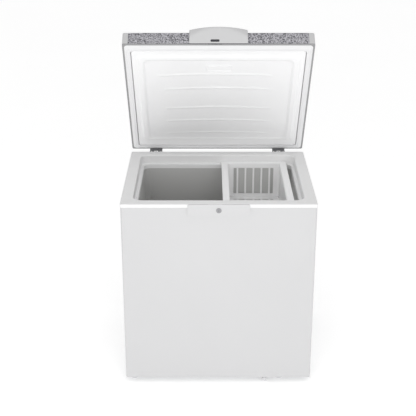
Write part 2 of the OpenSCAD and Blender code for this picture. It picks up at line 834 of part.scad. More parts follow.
module lid_corner_caps() {
    color(white) on_lid() difference() {
        intersection() {
            cap_space(0);
            lid_form(lid_z0, lid_z1);
        }
        for (m = [0, 1]) mirror([m, 0, 0])
            block([0, lid_y0 + shell_t, lid_z0], [lid_x - shell_t, lid_y0 + cap_d + eps, lid_z1 - shell_t], lid_r - shell_t);
    }
}

module lid_frame() {
    color(white) on_lid() difference() {
        lid_form(lid_z0, lid_z1);
        block([-lid_x + shell_t, lid_y0 + shell_t, lid_z0 + shell_t], [lid_x - shell_t, lid_y1 - shell_t, lid_z1 + eps],
            lid_r - shell_t);
        block([-lid_x + rim_w, lid_y0 + rim_w, lid_z0 - eps], [lid_x - rim_w, lid_y1 - rim_w, lid_z1], lid_r);
        block([-lid_x - eps, lid_y0 - eps, lid_z0 + shell_t], [lid_x + eps, lid_y0 + cap_d, lid_z1 + eps]);
        strike_box();
        at_leaf_screws() rod_y(screw_r, 0, lid_y1 - 2 * shell_t, lid_y1 + eps, 0);
    }
}

// The liner's stepped form, shrunk inwards by a wall
module liner_form(in) {
    plug_x1 = inner_x + ledge_w - plug_fit;
    block([-lid_x + rim_w + in, lid_y0 + rim_w + in, lid_z0 - liner_proud + in],
        [lid_x - rim_w - in, lid_y1 - rim_w - in, lid_z0 + shell_t], lid_r - in);
    block([-plug_x1 + in, inner_y0 - ledge_w + plug_fit + in, lid_z0 - plug_proud + in],
        [plug_x1 - in, inner_y1 + ledge_w - plug_fit - in, lid_z0 + shell_t], liner_r - in);
}

module lid_liner() {
    color(white) on_lid() difference() {
        liner_form(0);
        translate([0, 0, eps / 2]) liner_form(liner_t);
        liner_form(liner_t);
    }
}

module lid_foam() {
    color(foam_yellow) on_lid() difference() {
        union() {
            block([-lid_x + shell_t, lid_y0 + sheet_t, lid_z0 + shell_t],
                [lid_x - shell_t, lid_y1 - shell_t, lid_z1 - sheet_t], lid_r - shell_t);
            liner_form(liner_t);
        }
        difference() {
            cap_space(0);
            for (m = [0, 1]) mirror([m, 0, 0])
                block([0, lid_y0 + shell_t, lid_z0], [lid_x - shell_t, lid_y0 + cap_d + eps, lid_z1 - shell_t], lid_r - shell_t);
        }
        strike_box();
        at_handle_screws() rod_y(head_r + 0.1, 0, lid_y0, lid_y0 + sheet_t + head_t, 0);
        at_leaf_screws() rod_y(screw_r, 0, lid_y1 - 16, lid_y1 + eps, 0);
    }
}

module lid_gasket() {
    in = rim_w - 1;
    color(light_grey) on_lid() difference() {
        block([-lid_x + in - seal_w, lid_y0 + in - seal_w, collar_z + gap],
            [lid_x - in + seal_w, lid_y1 - in + seal_w, lid_z0], lid_r + seal_w);
        block([-lid_x + in, lid_y0 + in, collar_z - eps], [lid_x - in, lid_y1 - in, lid_z0 + eps], lid_r);
    }
}

module lid_badge_pad() {
    z1 = lid_z0 - plug_proud;
    color(white) on_lid() block([pad_x - pad_w / 2, pad_y - pad_d / 2, z1 - pad_t],
        [pad_x + pad_w / 2, pad_y + pad_d / 2, z1], 6);
}

// The handle's outer form: a slanted face under a lip that is bowed as seen from above
module handle_form(in) {
    face_y = lid_y0 - handle_reach;
    shift = in * 1.17;
    intersection() {
        translate([-half_handle + in, 0, 0]) rotate([90, 0, 90]) linear_extrude(handle_w - 2 * in) polygon([
            [lid_y0 + sign(in), lid_z0 + shift / handle_reach * handle_rise],
            [lid_y0 + (in == 0 ? 0 : -0.001), lid_z0 + shift / handle_reach * handle_rise],
            [face_y + shift, lid_z1 - handle_lip], [face_y + shift, lid_z1 - in],
            [lid_y0 + sign(in), lid_z1 - in]]);
        rod_z(handle_bow - in, 0, face_y + handle_bow, lid_z0, lid_z1);
    }
}

// The strike's window in the handle's slanted face
module window_form() {
    intersection() {
        block([window_x0, lid_y0 - handle_reach, window_z], [window_x0 + window_w, lid_y0, window_z + window_h]);
        handle_form(0);
    }
}

module handle_shell() {
    color(white) on_lid() difference() {
        union() {
            difference() {
                handle_form(0);
                handle_form(handle_t);
            }
            intersection() {
                at_handle_screws() rod_y(5, 0, lid_y0 - handle_reach, lid_y0, 0);
                handle_form(0);
            }
        }
        at_handle_screws() rod_y(screw_r, 0, lid_y0 - 12, lid_y0 + eps, 0);
        window_form();
    }
}

module handle_screws() {
    color(metal_grey) on_lid() at_handle_screws() {
        rod_y(screw_r - 0.1, 0, lid_y0 - 11, lid_y0 + sheet_t, 0);
        rod_y(head_r, 0, lid_y0 + sheet_t, lid_y0 + sheet_t + head_t, 0);
    }
}

module handle_strike() {
    cavity_y0 = hook_y0 - 0.5;
    cavity_y1 = hook_y1 + 0.6;
    color(dark_grey) on_lid() difference() {
        union() {
            strike_box();
            window_form();
        }
        block([strike_x0, cavity_y0, strike_z0 - eps], [hook_w / 2 + 0.7, cavity_y1, catch_z]);
        block([strike_x0, cavity_y0, catch_z], [nose_l + 2, cavity_y1, lock_z + sweep_r + 1]);
        block([window_x0 + 1.5, lid_y0 - handle_reach, window_z + 1.5],
            [window_x0 + window_w - 1.5, lid_y0 - 0.5, window_z + window_h - 1.5]);
    }
}

// ---------- hinges ----------

module at_hinge_screws() {
    for (s = [-1, 1], x = [-14, 14], z = [hinge_plate_z0 + 14, hinge_plate_z0 + 50])
        translate([s * hinge_x + x, 0, z]) children();
}

module hinge_base(x) {
    color(dark_grey) in_cabinet() difference() {
        union() {
            block([x - hinge_w / 2, back_y, hinge_plate_z0], [x + hinge_w / 2, back_y + hinge_plate_t, hinge_plate_z1]);
            for (ear = [x - hinge_w / 2, x + hinge_w / 2 - ear_t])
                translate([ear, 0, 0]) rotate([90, 0, 90]) linear_extrude(ear_t) {
                    translate([axis_y, axis_z]) circle(knuckle_r);
                    polygon([[back_y + hinge_plate_t, axis_z - 60], [axis_y + knuckle_r, axis_z],
                        [axis_y, axis_z + knuckle_r], [back_y + hinge_plate_t + 1, hinge_plate_z1],
                        [back_y + hinge_plate_t, hinge_plate_z1]]);
                }
        }
        rod_x(pin_r, x - hinge_w, x + hinge_w, axis_y, axis_z);
        at_hinge_screws() rod_y(screw_r, 0, back_y - eps, back_y + hinge_plate_t + eps, 0);
    }
}

module hinge_pin(x) {
    color(metal_grey) in_cabinet() {
        rod_x(pin_r, x - hinge_w / 2, x + hinge_w / 2, axis_y, axis_z);
        rod_x(pin_r + 2, x - hinge_w / 2 - 2, x - hinge_w / 2, axis_y, axis_z);
    }
}

module hinge_spring(x) {
    steps = 12 * spring_turns;
    coil_start = [x - spring_half + wire_r, axis_y, axis_z - spring_r];
    coil = [for (i = [0:steps]) [x - spring_half + wire_r + (2 * spring_half - 2 * wire_r) * i / steps,
        axis_y - spring_r * sin(30 * i), axis_z - spring_r * cos(30 * i)]];
    color(metal_grey) in_cabinet()
        tube(concat([[coil_start.x, back_y + hinge_plate_t, coil_start.z]], [[coil_start.x, axis_y - 4, coil_start.z]],
            [for (i = [1:steps]) [coil[i].x, 2 * axis_y - coil[i].y, coil[i].z]]), wire_r, [1, 0, 0], 6);
}

module hinge_leaf(x) {
    color(dark_grey) on_lid() difference() {
        union() {
            rod_x(knuckle_r, x - leaf_half, x + leaf_half, axis_y, axis_z);
            block([x - leaf_half, lid_y1, axis_z], [x + leaf_half, lid_y1 + leaf_t, leaf_z1]);
            block([x - hinge_w / 2, lid_y1, axis_z + knuckle_r + 3], [x + hinge_w / 2, lid_y1 + leaf_t, leaf_z1]);
        }
        rod_x(pin_r + run, x - hinge_w, x + hinge_w, axis_y, axis_z);
        block([x - spring_half - 1.5, axis_y - 2 * knuckle_r, axis_z - knuckle_r - eps],
            [x + spring_half + 1.5, axis_y + 2 * knuckle_r, axis_z + knuckle_r + 3]);
        at_leaf_screws() rod_y(screw_r, 0, lid_y1 - eps, lid_y1 + leaf_t + eps, 0);
    }
}

module hinge_base_left() { hinge_base(-hinge_x); }
module hinge_base_right() { hinge_base(hinge_x); }
module hinge_pin_left() { hinge_pin(-hinge_x); }
module hinge_pin_right() { hinge_pin(hinge_x); }
module hinge_spring_left() { hinge_spring(-hinge_x); }
module hinge_spring_right() { hinge_spring(hinge_x); }
module hinge_leaf_left() { hinge_leaf(-hinge_x); }
module hinge_leaf_right() { hinge_leaf(hinge_x); }

module hinge_base_screws() {
    y1 = back_y + hinge_plate_t;
    color(metal_grey) in_cabinet() at_hinge_screws() {
        rod_y(head_r, 0, y1, y1 + head_t, 0);
        rod_y(screw_r - 0.1, 0, foam_y1 - 12, y1, 0);
    }
}

module hinge_leaf_screws() {
    y1 = lid_y1 + leaf_t;
    color(metal_grey) on_lid() at_leaf_screws() {
        rod_y(head_r, 0, y1, y1 + head_t, 0);
        rod_y(screw_r - 0.1, 0, lid_y1 - 15, y1, 0);
    }
}

// ---------- basket ----------

// Starts of a row of slots, centred between two ends
function slot_starts(a, b) =
    let (n = floor((b - a - 2 * basket_r + bar_w) / bar_pitch), start = (a + b) / 2 - (n * bar_pitch - bar_w) / 2)
    [for (i = [0:n - 1]) start + i * bar_pitch];

module storage_basket() {
    color(white) in_cabinet() difference() {
        union() {
            block([basket_x0, basket_y0, ledge_z], [basket_x1, basket_y1, rim_z1], 8);
            block([wall_x0, wall_y0, basket_z0], [wall_x1, wall_y1, rim_z1], basket_r);
        }
        difference() {
            block([basket_x0 + rim_t, basket_y0 + rim_t, ledge_z - eps],
                [basket_x1 - rim_t, basket_y1 - rim_t, rim_z1 - rim_t], 5);
            block([wall_x0, wall_y0, ledge_z - 2 * eps], [wall_x1, wall_y1, rim_z1], basket_r);
        }
        block([wall_x0 + basket_t, wall_y0 + basket_t, basket_z0 + basket_t],
            [wall_x1 - basket_t, wall_y1 - basket_t, rim_z1 + eps], basket_r - basket_t);
        for (x = slot_starts(wall_x0, wall_x1)) {
            for (y = [wall_y0 - eps, wall_y1 - 2 * basket_t])
                block([x, y, slot_z0], [x + slot_w, y + 2 * basket_t + eps, slot_z1]);
            for (y = [wall_y0 + 20:dash_pitch:wall_y1 - 20 - dash_w])
                block([x, y, basket_z0 - eps], [x + slot_w, y + dash_w, basket_z0 + 2 * basket_t]);
        }
        for (y = slot_starts(wall_y0, wall_y1))
            block([wall_x1 - 2 * basket_t, y, slot_z0], [wall_x1 + eps, y + slot_w, slot_z1]);
    }
}

outer_wrap();
back_panel();
back_panel_screws();
base_pan();
machine_partition();
inner_liner();
top_collar();
foam_insulation();
compressor();
compressor_base();
compressor_grommets();
terminal_box();
discharge_tube();
condenser_coil();
filter_drier();
evaporator_coil();
capillary_tube();
suction_tube();
service_grille();
grille_screws();
indicator_lamps();
thermostat();
thermostat_knob();
thermostat_bulb();
power_inlet();
drain_cup();
drain_plug();
drain_tube();
drain_spout();
drain_cap();
front_feet();
rear_feet();
rear_spacers();
lock_plate();
lock_housing();
lock_cylinder();
lock_hook();
lid_skin();
lid_corner_caps();
lid_frame();
lid_liner();
lid_foam();
lid_gasket();
lid_badge_pad();
handle_shell();
handle_screws();
handle_strike();
hinge_base_left();
hinge_base_right();
hinge_pin_left();
hinge_pin_right();
hinge_spring_left();
hinge_spring_right();
hinge_leaf_left();
hinge_leaf_right();
hinge_base_screws();
hinge_leaf_screws();
storage_basket();
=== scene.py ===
"""Visual model of a chest freezer with its lid open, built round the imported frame.

Every class makes one sub-assembly. Sizes are millimetres in the cabinet's own frame, with the lid drawn
closed: x to the right, y to the rear from the front face, z up from the floor. Spaces turns them into the row
frame.
"""

from __future__ import annotations

import logging
import math
from dataclasses import dataclass, field
from enum import Enum
from typing import Callable, Sequence

import bmesh
import bpy
from mathutils import Matrix, Vector

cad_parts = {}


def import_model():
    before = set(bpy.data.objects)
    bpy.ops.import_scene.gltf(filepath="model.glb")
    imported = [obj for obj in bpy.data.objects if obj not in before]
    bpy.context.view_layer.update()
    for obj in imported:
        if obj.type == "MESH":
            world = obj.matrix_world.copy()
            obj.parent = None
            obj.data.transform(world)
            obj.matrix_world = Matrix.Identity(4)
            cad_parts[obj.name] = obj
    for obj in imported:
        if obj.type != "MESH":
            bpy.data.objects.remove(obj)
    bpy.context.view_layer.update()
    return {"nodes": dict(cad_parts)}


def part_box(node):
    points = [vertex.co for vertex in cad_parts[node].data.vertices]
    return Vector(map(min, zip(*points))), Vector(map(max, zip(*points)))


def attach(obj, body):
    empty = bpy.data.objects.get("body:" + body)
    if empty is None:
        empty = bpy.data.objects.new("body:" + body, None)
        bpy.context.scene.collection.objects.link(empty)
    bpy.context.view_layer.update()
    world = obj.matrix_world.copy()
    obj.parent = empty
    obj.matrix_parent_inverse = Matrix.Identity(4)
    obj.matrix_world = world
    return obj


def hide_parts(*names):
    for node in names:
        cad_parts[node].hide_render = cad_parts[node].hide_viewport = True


log = logging.getLogger("chest_freezer")

MM = 0.001
WELD = 1e-6
SMOOTH_ANGLE = math.radians(42)
Colour = tuple[float, float, float]
Ring = list[Vector]


class Direction(Enum):
    """The axis that a turned piece stands on."""

    RIGHT = Vector((1, 0, 0))
    BACK = Vector((0, 1, 0))
    UP = Vector((0, 0, 1))


# ---------- shader maths ----------


class Wire:
    """A node's output that takes part in arithmetic."""

    def __init__(self, tree: bpy.types.NodeTree, socket: bpy.types.NodeSocket) -> None:
        """Keeps the tree and the socket."""
        self.tree = tree
        self.socket = socket

    def _math(self, operation: str, left: Wire | float, right: Wire | float) -> Wire:
        """Adds one Math node.

        Args:
            operation: The Math node's operation.
            left: First value or link.
            right: Second value or link.

        Returns:
            The node's result.
        """
        node = self.tree.nodes.new("ShaderNodeMath")
        node.operation = operation
        for socket, value in zip(node.inputs, (left, right)):
            if isinstance(value, Wire):
                self.tree.links.new(value.socket, socket)
            else:
                socket.default_value = value
        return Wire(self.tree, node.outputs[0])

    def __add__(self, other: Wire | float) -> Wire:
        """self + other."""
        return self._math("ADD", self, other)

    __radd__ = __add__

    def __sub__(self, other: Wire | float) -> Wire:
        """self - other."""
        return self._math("SUBTRACT", self, other)

    def __rsub__(self, other: float) -> Wire:
        """other - self."""
        return self._math("SUBTRACT", other, self)

    def __mul__(self, other: Wire | float) -> Wire:
        """self * other."""
        return self._math("MULTIPLY", self, other)

    __rmul__ = __mul__

class Recipe:
    """The node tree of one material."""

    def __init__(self, name: str) -> None:
        """Starts an empty material with object coordinates.

        Args:
            name: Name of the material.
        """
        self.material = bpy.data.materials.new(name)
        self.material.use_nodes = True
        self.tree = self.material.node_tree
        self.tree.nodes.clear()
        self.place = self.add("ShaderNodeTexCoord").outputs["Object"]

    def add(self, kind: str, settings: dict | None = None, inputs: dict | None = None) -> bpy.types.Node:
        """Adds any node other than arithmetic.

        Args:
            kind: The node's type.
            settings: Its properties; "stops" holds a colour ramp's (position, grey) pairs.
            inputs: Values or links by socket name or number.

        Returns:
            The new node.
        """
        node = self.tree.nodes.new(kind)
        for key, value in (settings or {}).items():
            if key == "stops":
                self._set_stops(node, value)
            else:
                setattr(node, key, value)
        for key, value in (inputs or {}).items():
            socket = node.inputs[key]
            if isinstance(value, Wire):
                self.tree.links.new(value.socket, socket)
            elif isinstance(value, bpy.types.NodeSocket):
                self.tree.links.new(value, socket)
            else:
                socket.default_value = value
        return node

    @staticmethod
    def _set_stops(node: bpy.types.Node, stops: Sequence[tuple[float, float]]) -> None:
        """Sets a colour ramp's stops.

        Args:
            node: The ramp.
            stops: Pairs of position and grey value.
        """
        elements = node.color_ramp.elements
        while len(elements) < len(stops):
            elements.new(1.0)
        for element, (position, grey) in zip(elements, stops):
            element.position = position
            element.color = (grey, grey, grey, 1)

    def wire(self, node: bpy.types.Node, output: str | int = 0) -> Wire:
        """A node's output, ready for arithmetic."""
        return Wire(self.tree, node.outputs[output])

    def stretched(self, scale: Colour) -> bpy.types.NodeSocket:
        """Object coordinates scaled differently along each axis."""
        return self.add("ShaderNodeMapping", inputs={"Vector": self.place, "Scale": scale}).outputs[0]

    def noise(self, scale: float, detail: float = 2.0, place: bpy.types.NodeSocket | None = None) -> Wire:
        """Noise from 0 to 1.

        Args:
            scale: Repeats a metre.
            detail: Octaves of finer noise.
            place: Coordinates, or None for plain object coordinates.

        Returns:
            The noise value.
        """
        node = self.add("ShaderNodeTexNoise", inputs={
            "Vector": place or self.place, "Scale": scale, "Detail": detail, "Roughness": 0.55})
        return self.wire(node, "Fac")

    def cells(self, scale: float, feature: str, output: str) -> Wire:
        """A Voronoi pattern.

        Args:
            scale: Cells a metre.
            feature: The texture's feature.
            output: Which output to use.

        Returns:
            The chosen output.
        """
        node = self.add("ShaderNodeTexVoronoi", {"feature": feature},
                        {"Vector": self.place, "Scale": scale})
        return self.wire(node, output)

    def ramp(self, value: Wire, stops: Sequence[tuple[float, float]]) -> Wire:
        """A value put through a grey ramp."""
        return self.wire(self.add("ShaderNodeValToRGB", {"stops": stops}, {"Fac": value}), "Color")

    def blend(self, fac: Wire, low: Colour, high: Colour) -> bpy.types.NodeSocket:
        """A colour between two others."""
        node = self.add("ShaderNodeMix", {"data_type": "RGBA"}, {"Factor": fac, 6: (*low, 1), 7: (*high, 1)})
        return node.outputs[2]

    def shade(self, values: dict) -> bpy.types.Material:
        """Closes the tree with a Principled shader.

        Args:
            values: Values or links of the shader's sockets.

        Returns:
            The finished material.
        """
        shader = self.add("ShaderNodeBsdfPrincipled", inputs=values)
        self.add("ShaderNodeOutputMaterial", inputs={"Surface": shader.outputs[0]})
        return self.material

    def bump(self, height: Wire, strength: float, distance: float) -> bpy.types.NodeSocket:
        """A normal from a height."""
        return self.add("ShaderNodeBump", inputs={
            "Height": height, "Strength": strength, "Distance": distance}).outputs[0]


# ---------- finishes ----------


def shift(colour: Colour, by: float) -> Colour:
    """A colour made lighter or darker by a share."""
    return tuple(min(1.0, channel * (1 + by)) for channel in colour)


@dataclass(frozen=True)
class Finish:
    """What every finish has: a name, a slot of the record and the shader's plain values."""

    name: str
    slot: str
    colour: Colour
    roughness: float = 0.45
    metallic: float = 0.0
    coat: float = 0.0
    vary: float = 0.02

    def build(self) -> bpy.types.Material:
        """Makes the material, once."""
        made = bpy.data.materials.get(self.name)
        if made:
            return made
        recipe = Recipe(self.name)
        return recipe.shade(self.values(recipe))

    def values(self, recipe: Recipe) -> dict:
        """The shader's sockets. Each kind of finish has its own.

        Args:
            recipe: The material being made.

        Returns:
            Values or links by socket name.
        """
        raise NotImplementedError

    def mottled(self, recipe: Recipe, fac: Wire) -> bpy.types.NodeSocket:
        """The finish's colour, from a little darker to a little lighter."""
        return recipe.blend(fac, shift(self.colour, -self.vary), shift(self.colour, self.vary))

    def plain(self, colour: bpy.types.NodeSocket, rough: Wire, normal: bpy.types.NodeSocket) -> dict:
        """The sockets that every finish sets."""
        return {"Base Color": colour, "Roughness": rough, "Metallic": self.metallic,
                "Coat Weight": self.coat, "Normal": normal}


@dataclass(frozen=True)
class Paint(Finish):
    """Baked paint on sheet: fine orange peel and a very slight change of shade."""

    peel: float = 260.0
    depth: float = 0.00012

    def values(self, recipe: Recipe) -> dict:
        """Orange peel bump, cloudy roughness.

        Args:
            recipe: The material being made.

        Returns:
            Values or links by socket name.
        """
        cloud = recipe.noise(3.5, 3)
        peel = recipe.noise(self.peel, 2)
        colour = self.mottled(recipe, cloud)
        rough = self.roughness - 0.05 + cloud * 0.06 + peel * 0.04
        return self.plain(colour, rough, recipe.bump(peel, 0.25, self.depth))


@dataclass(frozen=True)
class Moulding(Finish):
    """Moulded plastic with a fine spark grain."""

    grain: float = 900.0
    depth: float = 0.00010

    def values(self, recipe: Recipe) -> dict:
        """Spark grain bump, slight mottling.

        Args:
            recipe: The material being made.

        Returns:
            Values or links by socket name.
        """
        cloud = recipe.noise(7.0, 3)
        grain = recipe.noise(self.grain, 3)
        colour = self.mottled(recipe, cloud)
        rough = self.roughness - 0.04 + cloud * 0.05 + grain * 0.06
        return self.plain(colour, rough, recipe.bump(grain, 0.35, self.depth))


@dataclass(frozen=True)
class Stucco(Finish):
    """Sheet rolled with a stucco pattern: small bright and dark crests in every direction, the colour
    following the relief as painted shade in the troughs and painted highlight on the crests.
    """

    crest: float = 180.0
    # Colour of the troughs: painted shade in the relief's hollows.
    dark: Colour = (0.07, 0.07, 0.08)
    depth: float = 0.0008

    def values(self, recipe: Recipe) -> dict:
        """Crests in two sizes that change colour, gloss and normal; the colour is painted shade where the
        relief is low and painted highlight where it is high.

        Args:
            recipe: The material being made.

        Returns:
            Values or links by socket name.
        """
        wide = recipe.noise(self.crest, 1)
        cell = recipe.cells(self.crest * 1.1, "F1", "Color")
        fleck = recipe.noise(self.crest * 2.2, 1)
        height = recipe.ramp(wide * 0.9 + cell * 0.35 + fleck * 0.45 - 0.35, [(0.30, 0.0), (0.66, 1.0)])
        # Painted shade and highlight: dark where the relief is low, light where it is high.
        colour = recipe.blend(height, self.dark, self.colour)
        rough = self.roughness + height * -0.12
        return self.plain(colour, rough, recipe.bump(height, 0.6, self.depth))


@dataclass(frozen=True)
class Spangle(Finish):
    """Galvanised sheet, with its grown crystals."""

    crystals: float = 70.0

    def values(self, recipe: Recipe) -> dict:
        """Crystals that differ in shade and gloss.

        Args:
            recipe: The material being made.

        Returns:
            Values or links by socket name.
        """
        crystal = recipe.cells(self.crystals, "F1", "Color")
        fine = recipe.noise(600.0, 2)
        colour = self.mottled(recipe, crystal)
        rough = self.roughness - 0.08 + crystal * 0.16
        return self.plain(colour, rough, recipe.bump(fine, 0.15, 0.0001))


@dataclass(frozen=True)
class Brushed(Finish):
    """Rolled or drawn metal, with lines along one axis."""

    along: Colour = (6.0, 160.0, 160.0)

    def values(self, recipe: Recipe) -> dict:
        """Fine drawn lines in shade, gloss and normal.

        Args:
            recipe: The material being made.

        Returns:
            Values or links by socket name.
        """
        line = recipe.noise(5.0, 4, recipe.stretched(self.along))
        cloud = recipe.noise(4.0, 3)
        colour = self.mottled(recipe, line * 0.5 + cloud * 0.5)
        rough = self.roughness - 0.06 + line * 0.12
        return self.plain(colour, rough, recipe.bump(line, 0.2, 0.0001))


@dataclass(frozen=True)
class Foam(Finish):
    """Expanded foam with open cells."""

    def values(self, recipe: Recipe) -> dict:
        """Round pits with a change of shade.

        Args:
            recipe: The material being made.

        Returns:
            Values or links by socket name.
        """
        pit = recipe.cells(320.0, "F1", "Distance")
        cloud = recipe.noise(14.0, 3)
        colour = recipe.blend(cloud, shift(self.colour, -0.18), shift(self.colour, 0.08))
        return self.plain(colour, self.roughness + pit * 0.1, recipe.bump(pit, 0.6, 0.0015))


@dataclass(frozen=True)
class Tarnish(Finish):
    """Copper or cast metal that has dulled in patches."""

    dull: Colour = (0.20, 0.11, 0.07)

    def values(self, recipe: Recipe) -> dict:
        """Dull patches over drawn metal.

        Args:
            recipe: The material being made.

        Returns:
            Values or links by socket name.
        """
        patch = recipe.ramp(recipe.noise(28.0, 4), [(0.42, 0.0), (0.68, 1.0)])
        fine = recipe.noise(500.0, 2)
        colour = recipe.blend(patch * 0.6, self.colour, self.dull)
        return self.plain(colour, self.roughness + patch * 0.2, recipe.bump(fine, 0.2, 0.0001))


@dataclass(frozen=True)
class Lamp(Finish):
    """A small diffusing lens, lit from inside."""

    glow: float = 0.35

    def values(self, recipe: Recipe) -> dict:
        """Ribbed lens with a faint glow.

        Args:
            recipe: The material being made.

        Returns:
            Values or links by socket name.
        """
        rib = recipe.noise(900.0, 1, recipe.stretched((1.0, 1.0, 0.1)))
        colour = recipe.blend(rib, shift(self.colour, -0.1), shift(self.colour, 0.15))
        values = self.plain(colour, self.roughness + rib * 0.1, recipe.bump(rib, 0.3, 0.0001))
        return {**values, "Emission Color": colour, "Emission Strength": self.glow}


PAINT = Paint("white_case_paint", "white_paint", (0.59, 0.59, 0.595), 0.42)
MOULD = Moulding("white_collar_plastic", "white_moulding", (0.82, 0.82, 0.82), 0.5)
# Same white moulding as the collar but far darker: painted shade for the lid edge's shadowed rim under the
# open lid.
LID_EDGE_PAINTED_SHADE = Moulding("white_lid_edge_plastic_painted_shade", "white_moulding", (0.30, 0.30, 0.305), 0.5)
HANDLE = Moulding("white_handle_plastic", "white_moulding", (0.58, 0.58, 0.585), 0.42)
LINER = Moulding("white_formed_liner", "white_liner", (0.87, 0.87, 0.875), 0.6, grain=420.0, depth=0.00006)
BASKET = Moulding("white_basket_plastic", "basket_plastic", (0.90, 0.90, 0.90), 0.5)
TUB = Brushed("grey_liner_sheet", "liner_metal", (0.58, 0.58, 0.57), 0.6, 0.2, vary=0.04,
              along=(160.0, 160.0, 6.0))
STUCCO = Stucco("stucco_sheet", "stucco_metal", (0.58, 0.57, 0.61), 0.5, 0.1)
ZINC = Spangle("galvanised_sheet", "galvanised", (0.52, 0.53, 0.54), 0.42, 0.75, vary=0.14)
SCREW = Brushed("plated_screw", "screw_steel", (0.60, 0.60, 0.61), 0.34, 0.9, vary=0.1)
HINGE = Brushed("hinge_steel", "screw_steel", (0.25, 0.25, 0.26), 0.5, 0.3, vary=0.12)
FOAM = Foam("insulating_foam", "foam", (0.80, 0.69, 0.42), 0.85)
BLACK = Paint("compressor_paint", "black_paint", (0.022, 0.022, 0.024), 0.36, peel=180.0)
COPPER = Tarnish("copper_pipe", "copper_tube", (0.72, 0.36, 0.22), 0.32, 0.95)
DARK = Moulding("dark_plastic", "dark_plastic", (0.016, 0.016, 0.018), 0.55, vary=0.1)
GREY = Moulding("grey_plastic", "grey_plastic", (0.52, 0.52, 0.53), 0.46, vary=0.04)
LOCK = Brushed("lock_face", "lock_metal", (0.30, 0.30, 0.31), 0.42, 0.3, vary=0.08)
SEAL = Moulding("seal_rubber", "seal_rubber", (0.27, 0.27, 0.275), 0.62, grain=500.0, vary=0.04)
RUBBER = Moulding("grommet_rubber", "grommet_rubber", (0.028, 0.028, 0.028), 0.75, vary=0.12)
GREEN = Lamp("green_lamp_lens", "green_lamp", (0.05, 0.55, 0.12), 0.25)

CAD_FINISHES: dict[str, Finish] = {
    "outer_wrap": PAINT, "back_panel": PAINT, "base_pan": ZINC, "machine_partition": ZINC, "inner_liner": TUB,
    "foam_insulation": FOAM, "compressor": BLACK, "compressor_base": ZINC, "compressor_grommets": RUBBER,
    "terminal_box": DARK, "discharge_tube": COPPER, "condenser_coil": COPPER, "filter_drier": COPPER,
    "evaporator_coil": COPPER, "capillary_tube": COPPER, "suction_tube": COPPER, "service_grille": HANDLE,
    "indicator_lamps": GREEN, "thermostat": GREY, "thermostat_knob": GREY, "thermostat_bulb": COPPER,
    "power_inlet": DARK, "drain_cup": MOULD, "drain_plug": MOULD, "drain_tube": GREY, "drain_spout": GREY,
    "drain_cap": GREY, "rear_spacers": DARK, "lock_plate": PAINT, "lock_housing": GREY, "lock_cylinder": LOCK,
    "lock_hook": SCREW, "handle_strike": DARK, "handle_screws": SCREW,
    "hinge_base_left": HINGE, "hinge_base_right": HINGE, "hinge_pin_left": SCREW, "hinge_pin_right": SCREW,
    "hinge_spring_left": SCREW, "hinge_spring_right": SCREW,
    "hinge_leaf_left": HINGE, "hinge_leaf_right": HINGE,
}
EASED_NODES: dict[str, float] = {
    "outer_wrap": 0.3, "back_panel": 0.3, "service_grille": 0.5, "thermostat_knob": 0.6, "lock_plate": 0.9,
    "lock_cylinder": 0.35, "hinge_base_left": 0.5, "hinge_base_right": 0.5, "hinge_leaf_left": 0.5,
    "hinge_leaf_right": 0.5, "rear_spacers": 1.0, "drain_cap": 0.6, "drain_plug": 0.4, "terminal_box": 1.0,
    "lock_hook": 0.3,
}


# ---------- shapes ----------


def rect_ring(lo: tuple[float, float], hi: tuple[float, float], radius: float | Sequence[float], z: float,
              steps: int = 8, extra_x: Sequence[float] = (), extra_y: Sequence[float] = ()) -> Ring:
    """A rectangle with round corners, as a ring of points.

    Args:
        lo: Lowest x and y.
        hi: Highest x and y.
        radius: One corner radius, or four from the highest corner on, anticlockwise.
        z: Height.
        steps: Segments of each corner.
        extra_x: More points on the front and rear sides, rising.
        extra_y: More points on the left and right sides, rising.

    Returns:
        Points anticlockwise as seen from above, starting on the right side.
    """
    radii = [radius] * 4 if isinstance(radius, (int, float)) else list(radius)
    corners = [(hi[0], hi[1], 0), (lo[0], hi[1], 90), (lo[0], lo[1], 180), (hi[0], lo[1], 270)]
    extras = [[(x, hi[1]) for x in reversed(extra_x)], [(lo[0], y) for y in reversed(extra_y)],
              [(x, lo[1]) for x in extra_x], [(hi[0], y) for y in extra_y]]
    points: Ring = []
    for (cx, cy, start), r, extra in zip(corners, radii, extras):
        mx = cx - math.copysign(r, cx - (lo[0] + hi[0]) / 2)
        my = cy - math.copysign(r, cy - (lo[1] + hi[1]) / 2)
        for k in range(steps + 1):
            angle = math.radians(start + 90 * k / steps)
            points.append(Vector((mx + r * math.cos(angle), my + r * math.sin(angle), z)))
        points += [Vector((x, y, z)) for x, y in extra]
    return points


def smooth(value: float) -> float:
    """A soft step from 0 to 1."""
    t = min(1.0, max(0.0, value))
    return t * t * (3 - 2 * t)


def spread(start: float, end: float, step: float,
           dense: Sequence[tuple[float, float, float]] = ()) -> list[float]:
    """Positions along a line, closer together in chosen stretches.

    Args:
        start: First position.
        end: Last position.
        step: Usual spacing.
        dense: Stretches as (from, to, spacing).

    Returns:
        Rising positions.
    """
    cells = max(1, round((end - start) / step))
    found = {round(start + (end - start) * i / cells, 3) for i in range(cells + 1)}
    for low, high, fine in dense:
        found = {p for p in found if not low - fine * 0.5 < p < high + fine * 0.5}
        count = max(1, round((high - low) / fine))
        found |= {round(low + (high - low) * i / count, 3) for i in range(count + 1)}
    return sorted(p for p in found if start <= p <= end)


def scatter(i: int, j: int) -> float:
    """A fixed, uneven value from 0 to 1 for a grid point."""
    wave = math.sin(12.9898 * i + 78.233 * j) * 43758.5453
    return wave - math.floor(wave)


